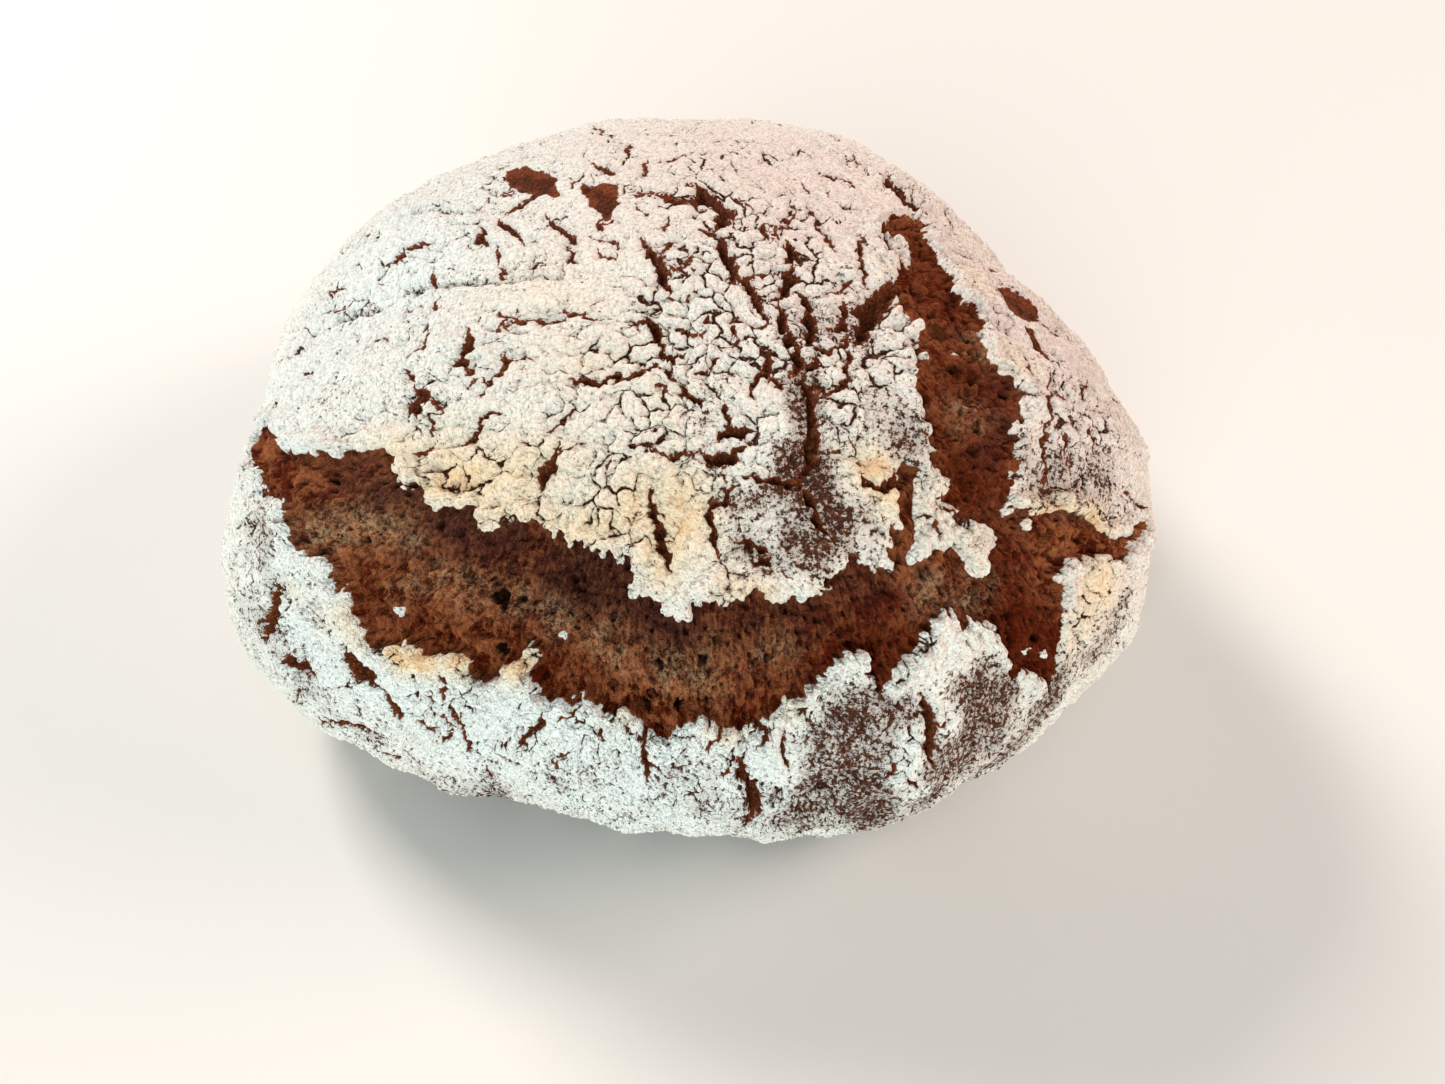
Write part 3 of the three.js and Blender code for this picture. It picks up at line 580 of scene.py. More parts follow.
def profile_table(sizes):
    """Arc length, reach as a share of the waist radius, and height, from the crown to the foot."""
    height, waist, inset = (x / MM for x in (sizes.height, sizes.waist_height, sizes.foot_inset))
    over = np.linspace(0, math.pi / 2, 200)
    under = np.linspace(0, math.pi / 2, 61)[1:]
    cosine = np.clip(np.cos(over), 0, None)
    reach = np.concatenate([np.sin(over) ** (2 / DOME_POWER),
                            1 - inset / MEAN_RADIUS * (1 - np.cos(under))])
    z = np.concatenate([waist + (height - waist) * cosine ** (2 / DOME_POWER),
                        waist * (1 - np.sin(under))])
    arc = np.concatenate([[0], np.cumsum(np.hypot(np.diff(reach) * MEAN_RADIUS, np.diff(z)))])
    return arc, reach, z


def waist_radius(direction):
    """Waist radius in a direction: a smooth closed curve through the spokes."""
    spokes = np.array(WAIST_SPOKES, float)
    count = len(spokes)
    place = (direction / math.tau) % 1 * count
    index = np.floor(place).astype(int)
    f = place - index
    a, b, c, d = (spokes[(index + step) % count] for step in (-1, 0, 1, 2))
    return 0.5 * (2 * b + (c - a) * f + (2 * a - 5 * b + 4 * c - d) * f ** 2
                  + (3 * b - 3 * c + d - a) * f ** 3)


def swell(u, v, foot):
    """The gentle rise and fall of the crust, which dies out towards the foot."""
    fade = np.clip((foot - np.hypot(u, v)) / SWELL_FADE, 0, 1)
    return fade * sum(height * np.sin(along_u * u + along_v * v + start)
                      for height, along_u, along_v, start in SWELL)


def crust_points(u, v, lift, profile):
    """Points in metres at map places (u, v), raised that many millimetres off the dome."""
    arcs, reaches, heights = profile
    direction = np.arctan2(v, u)
    arc = np.clip(np.hypot(u, v), 0, arcs[-1])
    step = 0.4
    before, after = np.clip(arc - step, 0, None), np.clip(arc + step, None, arcs[-1])
    run = (np.interp(after, arcs, reaches) - np.interp(before, arcs, reaches)) * MEAN_RADIUS
    fall = np.interp(after, arcs, heights) - np.interp(before, arcs, heights)
    slant = np.hypot(run, fall)
    rise = swell(u, v, arcs[-1]) + lift
    radius = np.interp(arc, arcs, reaches) * waist_radius(direction) - fall / slant * rise
    z = np.interp(arc, arcs, heights) + run / slant * rise
    x = CROWN[0] + radius * np.cos(direction)
    y = CROWN[1] + radius * np.sin(direction)
    return np.stack([x, y, np.clip(z, 0, None)], -1) * MM


# ---- Fields over the map: where the crust tore, cracked, and kept its flour ----

def ripple(u, v, size, seed):
    """Smooth random height, about -1 to 1, with bumps about that many millimetres across."""
    table = np.random.default_rng(seed).uniform(-1, 1, (TABLE_SIZE, TABLE_SIZE))
    turn = seed * 0.7
    x = (u * math.cos(turn) - v * math.sin(turn)) / size + TABLE_START
    y = (u * math.sin(turn) + v * math.cos(turn)) / size + TABLE_START
    i, j = np.floor(x).astype(int), np.floor(y).astype(int)
    fx, fy = x - i, y - j
    fx, fy = fx * fx * (3 - 2 * fx), fy * fy * (3 - 2 * fy)
    i0, i1, j0, j1 = (index % TABLE_SIZE for index in (i, i + 1, j, j + 1))
    low = table[i0, j0] * (1 - fx) + table[i1, j0] * fx
    high = table[i0, j1] * (1 - fx) + table[i1, j1] * fx
    return low * (1 - fy) + high * fy


def astray(u, v, strays, seed):
    """The places, moved by ripples given as (how far, millimetres across), from that seed on."""
    moved = []
    for place in (u, v):
        for far, size in strays:
            place = place + far * ripple(u, v, size, seed)
            seed += 1
        moved.append(place)
    return moved


def ripples(u, v, layers):
    """Sum of ripples given as (height, millimetres across, seed)."""
    return sum(height * ripple(u, v, size, seed) for height, size, seed in layers)


def shares_along(places):
    """The share of a broken line's length that lies before each of its places."""
    steps = np.hypot(*np.diff(places, axis=0).T)
    return np.concatenate([[0], np.cumsum(steps)]) / steps.sum()


def line_distance(u, v, places):
    """Distance to a broken line, the side of it (-1 or 1), and the share of its length along."""
    places = np.array(places, float)
    best = np.full(u.shape, 1e9)
    side = np.ones(u.shape)
    along = np.zeros(u.shape)
    done = shares_along(places)
    for k, ((u0, v0), (u1, v1)) in enumerate(zip(places, places[1:])):
        du, dv = u1 - u0, v1 - v0
        t = np.clip(((u - u0) * du + (v - v0) * dv) / (du * du + dv * dv), 0, 1)
        far = np.hypot(u - u0 - t * du, v - v0 - t * dv)
        nearer = far < best
        best = np.where(nearer, far, best)
        side = np.where(nearer, np.sign(du * (v - v0) - dv * (u - u0)), side)
        along = np.where(nearer, done[k] + t * (done[k + 1] - done[k]), along)
    return best, side, along


def polar(edge):
    """Map places of an edge given as (direction in degrees, arc)."""
    edge = np.array(edge, float)
    angle = np.radians(edge[:, 0])
    return np.stack([edge[:, 1] * np.cos(angle), edge[:, 1] * np.sin(angle)], -1)


def in_ring(u, v, ring, margin=8):
    """How far inside a closed ring of places each place is; negative outside."""
    ring = np.array((*ring, ring[0]), float)
    (u0, v0), (u1, v1) = ring.min(0) - margin, ring.max(0) + margin
    near = (u > u0) & (u < u1) & (v > v0) & (v < v1)
    inside = np.full(u.shape, -float(margin))
    pu, pv = u[near], v[near]
    far, _, _ = line_distance(pu, pv, ring)
    within = np.zeros(pu.shape, bool)
    for (u0, v0), (u1, v1) in zip(ring, ring[1:]):
        if v0 != v1:
            crosses = ((v0 > pv) != (v1 > pv)) & (pu < u0 + (pv - v0) * (u1 - u0) / (v1 - v0))
            within ^= crosses
    inside[near] = np.where(within, far, -far)
    return inside


def rounded(ring):
    """The ring with each corner cut once, as a torn edge has no sharp points."""
    ring = np.array(ring, float)
    ahead = np.roll(ring, -1, axis=0)
    return np.stack([0.75 * ring + 0.25 * ahead, 0.25 * ring + 0.75 * ahead], 1).reshape(-1, 2)


def front_tear(u, v):
    """How far inside the front tear each place is; negative outside."""
    return in_ring(u, v, rounded((*polar(CAP_EDGE), *polar(SKIRT_EDGE)[::-1])))


def clumps(u, v, size, seed):
    """How far up a rounded clump of flour each place is: 1 in its middle, 0 between clumps."""
    jitter = np.random.default_rng(seed).uniform(0.1, 0.9, (TABLE_SIZE, TABLE_SIZE, 2))
    x, y = u / size + TABLE_START, v / size + TABLE_START
    i, j = np.floor(x).astype(int), np.floor(y).astype(int)
    nearest = np.full(u.shape, 9.0)
    for a in (-1, 0, 1):
        for b in (-1, 0, 1):
            spot = jitter[(i + a) % TABLE_SIZE, (j + b) % TABLE_SIZE]
            nearest = np.minimum(nearest, np.hypot(i + a + spot[..., 0] - x, j + b + spot[..., 1] - y))
    return np.clip(1 - nearest ** 2 / 0.5, 0, 1)


def standing_out(u, v, layers):
    """How far clumps of flour given as (how far, mm across, seed) stand out from an edge."""
    return sum(far * (clumps(u, v, size, seed) - CLUMP_EDGE) for far, size, seed in layers)


def torn_wide(u, v):
    """How far inside the two tears each place is, before the scraps left in them are counted."""
    ru, rv = astray(u, v, EDGE_STRAY, 3)
    return np.maximum(front_tear(ru, rv), in_ring(ru, rv, rounded(SHOULDER_TEAR)))


def left_in_tear(u, v):
    """How far inside a flake or scrap of crust left in the tears each place is."""
    ru, rv = astray(u, v, SCRAP_STRAY, 7)
    left = np.maximum(in_ring(ru, rv, rounded(FLAKE)), in_ring(ru, rv, NECK_CLUMP))
    for su, sv, width in SCRAPS:
        left = np.maximum(left, width / 2 - np.hypot(ru - su, rv - sv))
    return left


def torn(u, v):
    """How far inside the torn crumb each place is; negative on crust. Edges run round clumps."""
    in_tears = torn_wide(u, v) - standing_out(u, v, EDGE_CLUMPS)
    return np.minimum(in_tears, -left_in_tear(u, v) - standing_out(u, v, SCRAP_CLUMPS))


def wandering(places, random):
    """A broken line through the places in short bits that stray sideways."""
    line = [places[0]]
    for (u0, v0), (u1, v1) in zip(places, places[1:]):
        size = math.hypot(u1 - u0, v1 - v0)
        bits = max(1, round(size / CRACK_BIT))
        for k in range(1, bits + 1):
            stray = CRACK_WANDER * random.uniform(-1, 1)
            share = k / bits
            line.append((u0 + (u1 - u0) * share - (v1 - v0) / size * stray,
                         v0 + (v1 - v0) * share + (u1 - u0) / size * stray))
    return line


def ruled_cracks(random):
    """Further cracks as (width, places), drawn at random between the limits of MORE_CRACKS."""
    cracks = []
    for rule in MORE_CRACKS:
        for _ in range(rule["count"]):
            angle = math.radians(random.uniform(rule["from"], rule["to"]))
            arc = random.uniform(rule["near"], rule["far"])
            heading = random.uniform(0, math.tau)
            size = random.uniform(*rule["long"])
            u, v = arc * math.cos(angle), arc * math.sin(angle)
            places = [(u, v)]
            for _ in range(3):
                heading += random.uniform(-CRACK_TURN, CRACK_TURN)
                u, v = u + size / 3 * math.cos(heading), v + size / 3 * math.sin(heading)
                places.append((u, v))
            cracks.append((random.uniform(*rule["wide"]), *places))
    return cracks


def cracked_lines():
    """Every crack as its wandering line and the half-width at each of its points."""
    random = np.random.default_rng(12)
    lines = []
    for width, *places in (*CRACKS, *ruled_cracks(random)):
        line = wandering(places, random)
        share = np.linspace(0, 1, len(line))
        taper = np.clip(np.sin(math.pi * np.clip(share, 0.04, 0.96)) * 1.5, 0, 1) ** 0.7
        lines.append((np.array(line), width / 2 * taper * random.uniform(*CRACK_UNEVEN, len(line))))
    return lines


def cracked(u, v, lines):
    """Distance to the nearest crack's side (negative inside it), its middle line's signed distance,
    and its half-width there."""
    gap = np.full(u.shape, NO_CRACK)
    side = np.full(u.shape, NO_CRACK)
    half = np.full(u.shape, 0.2)
    for line, halves in lines:
        (u0, v0), (u1, v1) = line.min(0) - CRACK_REACH, line.max(0) + CRACK_REACH
        near = np.flatnonzero((u > u0) & (u < u1) & (v > v0) & (v < v1))
        if not len(near):
            continue
        far, sign, along = line_distance(u[near], v[near], line)
        here = np.interp(along, shares_along(line), halves)
        nearer = far - here < gap[near]
        index = near[nearer]
        gap[index] = (far - here)[nearer]
        side[index] = (far * sign)[nearer]
        half[index] = here[nearer]
    return gap, side, half


def patches(u, v, spots):
    """Sum of soft round spots given as (u, v, radius, strength)."""
    total = np.zeros(u.shape)
    for su, sv, radius, strength in spots:
        total += strength * np.exp(-((u - su) ** 2 + (v - sv) ** 2) / radius ** 2)
    return total


# ---- The loaf's mesh ----

def new_disc(cuts):
    """A hexagon of even triangles, as a disc of rings, and each vertex's place in it as a complex
    number inside the unit circle."""
    bpy.ops.object.select_all(action="DESELECT")
    bpy.ops.mesh.primitive_circle_add(vertices=6, radius=1, fill_type="TRIFAN")
    disc = bpy.context.object
    bpy.ops.object.mode_set(mode="EDIT")
    bpy.ops.mesh.select_all(action="SELECT")
    for cut in cuts:
        bpy.ops.mesh.subdivide(number_cuts=cut)
    bpy.ops.object.mode_set(mode="OBJECT")
    place = np.zeros(len(disc.data.vertices) * 3)
    disc.data.vertices.foreach_get("co", place)
    x, y = place.reshape(-1, 3)[:, :2].T
    sector_angle = math.tau / 6
    angle = np.arctan2(y, x) - math.pi / 2
    sector = np.floor(angle / sector_angle + 1e-9)
    within = angle - (sector + 0.5) * sector_angle
    ring = np.hypot(x, y) * np.cos(within) / math.cos(sector_angle / 2)
    share = 0.5 + np.tan(within) / (2 * math.tan(sector_angle / 2))
    return disc, ring * np.exp(1j * (sector + share) * sector_angle)


def drawn_to_front(place):
    """The disc mapped onto itself with its mesh drawn finer towards the torn side."""
    shift = -1j * FRONT_SHARE
    return (place + shift) / (1 + np.conj(shift) * place)


def snapped(u, v, field, reach):
    """Places that lie within reach of the field's zero line, moved onto it."""
    value = field(u, v)
    near = np.flatnonzero(np.abs(value) < reach)
    step = 0.1
    nu, nv, base = u[near], v[near], value[near]
    slope_u = (field(nu + step, nv) - base) / step
    slope_v = (field(nu, nv + step) - base) / step
    steep = np.clip(slope_u ** 2 + slope_v ** 2, 0.5, None)
    u, v = u.copy(), v.copy()
    u[near] -= base * slope_u / steep
    v[near] -= base * slope_v / steep
    return u, v


def smooth_step(value, low, high):
    """Rises smoothly from 0 at the low value to 1 at the high one."""
    t = np.clip((value - low) / (high - low), 0, 1)
    return t * t * (3 - 2 * t)


def crumb_floor(u, v, inside, sizes):
    """Height of the torn crumb against the dome, and how near the lip above it is (0 to 1)."""
    angle = np.degrees(np.arctan2(v, u)) % 360
    arc = np.hypot(u, v)
    cap = np.interp(angle, *np.array(CAP_EDGE, float).T)
    skirt = np.interp(angle, *np.array(SKIRT_EDGE, float).T)
    share = np.clip((skirt - arc) / np.maximum(skirt - cap, 4), 0, 1)
    lip, valley, middle = (x / MM for x in (sizes.lip_depth, sizes.valley_depth, sizes.crumb_depth))
    in_middle = np.exp(-((angle - VALLEY_DIRECTION) / VALLEY_SPREAD) ** 2)
    deep = valley * (VALLEY_LEAST + (1 - VALLEY_LEAST) * in_middle)
    across = (deep * smooth_step(share, VALLEY_END, 0) + middle * smooth_step(share, 0, MIDDLE_FROM)
              + (lip - middle) * smooth_step(share, LIP_START, 1))
    on_shoulder = smooth_step(in_ring(u, v, SHOULDER_TEAR), -4, -1) * smooth_step(arc, *SHOULDER_FLOOR)
    across += (middle * SHOULDER_DEEPER - across) * on_shoulder
    under_lip = smooth_step(share, 0.45, 0.95) * (1 - on_shoulder)
    # Torn crumb is rough: broad hollows and smaller lumps, and ridges drawn out along the tear.
    along = np.radians((angle + 90) % 360)
    way = RIDGES_DRAWN * (u * np.cos(along) + v * np.sin(along))
    ridge_u, ridge_v = u - way * np.cos(along), v - way * np.sin(along)
    ridges = sum(height * (1 - RIDGE_SHARP * np.abs(ripple(ridge_u, ridge_v, size, seed)))
                 for height, size, seed in RIDGES)
    rough = (ridges + ripples(u, v, LUMPS)) * (1 - LIP_CALM * under_lip)
    # Beside the torn crust the floor is shallow, so that no wall is tall and thin.
    beside_wall = WALL_TOP + WALL_SLOPE * np.clip(inside, 0, None)
    return np.maximum(ripples(u, v, HOLLOWS) + rough - across, -beside_wall), under_lip


def pore_depth(u, v, inside):
    """Depth of the pores in the torn crumb."""
    random = np.random.default_rng(31)
    angle = random.uniform(*np.radians(SMALL_PORE_DIRECTIONS), SMALL_PORES)
    arc = random.uniform(*SMALL_PORE_ARCS, SMALL_PORES)
    least, most = SMALL_PORE_RADII
    radius = least + (most - least) * random.random(SMALL_PORES) ** 3
    small = np.stack([arc * np.cos(angle), arc * np.sin(angle), radius, radius * 1.3], -1)
    depth = np.zeros(u.shape)
    open_crumb = np.flatnonzero(inside > 0.2)
    cu, cv = astray(u[open_crumb], v[open_crumb], PORE_STRAY, 32)
    order = np.argsort(cu)
    sorted_u = cu[order]
    for pu, pv, size, deep in (*PORES, *small):
        first, last = np.searchsorted(sorted_u, (pu - size, pu + size))
        near = order[first:last]
        far = np.hypot(cu[near] - pu, cv[near] - pv) / size
        dip = deep * np.clip(1 - far ** 3, 0, 1) ** 0.6
        index = open_crumb[near]
        depth[index] = np.maximum(depth[index], dip)
    return depth


def crack_depth(gap, half, bald, sizes):
    """How deep the crust is cracked at a distance inside a crack's side."""
    deepest = np.minimum(sizes.crack_depth / MM, 0.8 + 1.2 * half) * (1 - bald)
    return deepest * (1 - np.exp(np.clip(gap, None, 0) / 0.3))


def creased(u, v):
    """How deep in a soft crease of the crust each place is, 0 to 1."""
    ru, rv = astray(u, v, CREASE_STRAY, 71)
    crease = np.zeros(u.shape)
    for line in CREASES:
        far, _, along = line_distance(ru, rv, line)
        fade = np.sin(math.pi * np.clip(along, 0.03, 0.97)) ** 0.5
        crease = np.maximum(crease, fade * np.exp(-(far / CREASE_WIDTH) ** 2))
    return crease


def crust_lift(u, v, inside, gap, flour, sizes):
    """Height of the crust against the dome: caked flour, plates and curled torn edges."""
    on_crust = np.clip(-inside, 0, None)
    edge_round = -EDGE_ROUND * np.exp(-on_crust / EDGE_ROUND_REACH)
    curl = CURL * np.exp(-((on_crust - CURL_AT) / CURL_WIDTH) ** 2) * (0.6 + 0.7 * ripple(u, v, 7, 41))
    beside_crack = -CRACK_ROUND * np.exp(-np.clip(gap, 0, None) / CRACK_ROUND_REACH)
    lumps = (0.3 + 0.9 * np.exp(-(on_crust / 3.5) ** 2)) * clumps(u, v, 3.1, 45) * flour
    cake = 1.5 * sizes.flour_thickness / MM * (flour - 1)
    return edge_round + curl + beside_crack + ripples(u, v, PLATES) + lumps + cake


def store(mesh, name, values):
    """Keeps a number or a vector for each vertex, for the finish and the relief to read."""
    values = np.asarray(values, np.float32)
    vector = values.ndim == 2
    attribute = mesh.attributes.new(name, "FLOAT_VECTOR" if vector else "FLOAT", "POINT")
    attribute.data.foreach_set("vector" if vector else "value", values.ravel())


def stored_values(mesh, name):
    """The numbers kept on the mesh under that name."""
    attribute = mesh.attributes[name]
    vector = attribute.data_type == "FLOAT_VECTOR"
    values = np.zeros(len(attribute.data) * (3 if vector else 1), np.float32)
    attribute.data.foreach_get("vector" if vector else "value", values)
    return values.reshape(-1, 3) if vector else values


def sculpt(disc, place, sizes):
    """Moves the disc's vertices onto the loaf, and stores what its relief and finish need."""
    profile = profile_table(sizes)
    foot = profile[0][-1]
    lines = cracked_lines()
    front = drawn_to_front(place)
    u0, v0 = front.real * foot, front.imag * foot
    spacing = foot / MEAN_RINGS
    u, v = snapped(u0, v0, lambda a, b: cracked(a, b, lines)[0], CRACK_SNAP * spacing)
    u, v = snapped(u, v, torn, TEAR_SNAP * spacing)
    rim = np.hypot(u0, v0) > foot - RIM
    u, v = np.where(rim, u0, u), np.where(rim, v0, v)
    arc = np.hypot(u, v)
    inside = torn(u, v)
    raw_gap, side, half = cracked(u, v, lines)
    clump = clumps(u, v, 1.5, 17)
    gap = raw_gap + 0.5 * (clump - 0.6)
    thin = patches(u, v, THIN_FLOUR) * (0.95 + 0.5 * ripple(u, v, 4, 51))
    thin = np.where(thin > 0, THINNEST * (1 - np.exp(-1.45 * thin)), thin)
    foot_bare = FOOT_BARE * smooth_step(arc + 9 * ripple(u, v, 14, 52), FOOT_BARE_FROM, FOOT_BARE_TO)
    full = FULL_FLOUR + ripples(u, v, UNEVEN_FLOUR)
    crease = creased(u, v)
    flour = np.clip(full - thin - foot_bare - 0.5 * crease, 0.05, 1)
    bald = np.max([in_ring(u, v, ring) for ring in BALD], axis=0) + 0.5 + 0.6 * ripple(u, v, 1.6, 55)
    flaked = smooth_step(bald, -0.2, 0.5)

    # Crust, crumb, and what is left standing in the tear, as heights against the dome.
    floor_height, under_lip = crumb_floor(u, v, inside, sizes)
    well_inside = smooth_step(torn_wide(u, v), 0.6, 2.2)
    standing = np.clip(0.5 + 0.5 * left_in_tear(u, v), 0.5, 1.6) + 0.4 * clump
    crust = crust_lift(u, v, inside, gap, flour, sizes)
    crust -= FLAKED_DEPTH * flaked + CREASE_DEPTH * crease
    level = crust * (1 - well_inside) + (floor_height + standing) * well_inside
    level -= crack_depth(gap, half, smooth_step(bald, -2.0, -0.5), sizes)
    wall = smooth_step(inside, 0.02, 0.8)
    pores = pore_depth(u, v, inside) * smooth_step(inside, 0.4, 2.2)
    crumb = level * (1 - wall) + floor_height * wall - pores
    lift = np.where(inside > 0, crumb, level) * smooth_step(foot - arc, 0, FOOT_FADE)

    # The crumb's edge runs in under the torn crust, so that the crust overhangs it.
    step = 0.3
    wide = torn_wide(u, v)
    slope_u = (torn_wide(u + step, v) - wide) / step
    slope_v = (torn_wide(u, v + step) - wide) / step
    steepness = np.clip(np.hypot(slope_u, slope_v), 1, None)
    tuck = TUCK * wall ** 2 * np.exp(-np.clip(inside, 0, None) / 0.8) * (1 - well_inside) / steepness
    points = crust_points(u - tuck * slope_u, v - tuck * slope_v, lift, profile)
    mesh = disc.data
    mesh.vertices.foreach_set("co", points.ravel())
    mesh.update()

    flat = np.zeros_like(u)
    across_tear = np.arctan2(v, u) % math.tau * TEAR_ARC
    net_u, net_v = astray(u, v, NET_STRAY, 61)
    net_width = ripples(u, v, UNEVEN_NET) + patches(u, v, CRAZED) - 0.1
    tinge = ripples(u, v, TINGE)
    # Darker crumb: listed patches, and painted shadow where the crumb lies under the lip.
    dark_and_shadowed_crumb = 0.8 * patches(u, v, DARK_AND_SHADOWED_CRUMB) + 0.35 * under_lip
    ochre = patches(u, v, OCHRE_CRUMB) * (1.05 + 0.9 * ripple(u, v, 3.2, 69))
    for name, values in {
        "peel": np.stack([u, v, flat], -1),
        "rest": crust_points(u, v, flat, profile) / MM,
        "strand": np.stack([across_tear, arc / STRAND_DRAWN, flat], -1),
        "net_place": np.stack([net_u, net_v, flat], -1),
        "torn": inside,
        "pored": pores,
        "gap": np.clip(raw_gap, -6, 6),
        "side": np.clip(side, -8, 8),
        "half": half,
        "clump": clump,
        "flour": flour,
        "bald": np.clip(bald, -3, 3),
        "net_width": np.clip(net_width, -0.5, 0.5),
        "tint": 0.5 + ripples(u, v, TINT),
        "mottle": 0.5 + ripples(u, v, MOTTLE),
        "streaked": np.clip(patches(u, v, STREAKED), 0, 1),
        "toasted": np.clip(patches(u, v, TOASTED), 0, 1),
        "cool_light": np.clip(patches(u, v, COOL_LIT_FLOUR) + tinge, 0, 1),
        "warm_reflection": np.clip(patches(u, v, WARM_REFLECTED_FLOUR) - tinge, 0, 1),
        "under_lip": np.clip(dark_and_shadowed_crumb, 0, 1),
        "ochre": np.clip(ochre, 0, 1),
        "ruddy": np.clip(patches(u, v, RED_CRUMB), 0, 1),
        "part": part_of_skin(u, v, arc),
    }.items():
        store(mesh, name, values)


def part_of_skin(u, v, arc):
    """Which piece each vertex belongs to, as its place in PIECES."""
    angle = np.degrees(np.arctan2(v, u)) % 360
    first, last = CAP_EDGE[0][0], CAP_EDGE[-1][0]
    # Between cap and skirt the seam runs down the middle of the tear, where there is no wall.
    middle = 0.5 * (np.interp(angle, *np.array(CAP_EDGE, float).T)
                    + np.interp(angle, *np.array(SKIRT_EDGE, float).T))
    off_tear = np.clip(np.maximum(first - angle, angle - last) / SEAM_TURN, 0, 1)
    below = arc > middle * (1 - off_tear) + SEAM_BEHIND * off_tear
    # The seam is smoother than the torn edge, so that it never touches itself.
    smooth_tear = np.maximum(front_tear(u, v), in_ring(u, v, SHOULDER_TEAR))
    names = np.where(arc > SEAM_LOW, "crust_foot", np.where(below, "crust_skirt", "crust_cap"))
    names = np.where(smooth_tear > SEAM_IN_TEAR, "torn_crumb", names)
    return np.select([names == name for name in PIECES], range(len(PIECES)))


# ---- Node trees: one function adds a node, and fine patterns are shared by relief and finish ----

def add(tree, kind, inputs=(), out=0, **settings):
    """Adds a node with its settings, sets or links its inputs, and gives back one output."""
    node = tree.nodes.new(kind)
    for name, value in settings.items():
        setattr(node, name, value)
    pairs = inputs.items() if isinstance(inputs, dict) else enumerate(inputs)
    for name, value in pairs:
        socket = node.inputs[name]
        if isinstance(value, bpy.types.NodeSocket):
            tree.links.new(value, socket)
        else:
            socket.default_value = value
    return node.outputs[out]


def crazing(tree, net_place):
    """Distance in millimetres to the nearest line of the fine net of cracks round the plates."""
    cell = add(tree, "ShaderNodeTexVoronoi", {"Vector": net_place, "Scale": 1 / NET_PLATE},
               out="Distance", voronoi_dimensions="2D", feature="DISTANCE_TO_EDGE")
    return add(tree, "ShaderNodeMath", (cell, NET_PLATE), operation="MULTIPLY")


def granules(tree, rest, size):
    """How far up a rounded granule of caked flour each place is: 1 on top, 0 in the gaps."""
    cell = add(tree, "ShaderNodeTexVoronoi", {"Vector": rest, "Scale": 1 / size}, out="Distance")
    return add(tree, "ShaderNodeMapRange", (cell, 0.85, 0.1), interpolation_type="SMOOTHSTEP")


def strands(tree, strand):
    """Dough drawn out into strands across the tear, as noise from 0 to 1."""
    return add(tree, "ShaderNodeTexNoise", {"Vector": strand, "Scale": 1 / STRAND, "Detail": 2.0,
                                            "Roughness": 0.6}, noise_dimensions="2D")


def bubbles(tree, peel):
    """How deep in an opened bubble of the crumb each place is: 1 in the middle, mostly 0."""
    cell = add(tree, "ShaderNodeTexVoronoi", {"Vector": peel, "Scale": 1 / BUBBLE}, out="Distance",
               voronoi_dimensions="2D")
    return add(tree, "ShaderNodeMapRange", (cell, 0.25, 0.08), interpolation_type="SMOOTHSTEP")


# ---- Relief: the fine unevenness of caked flour and torn crumb, as real geometry ----

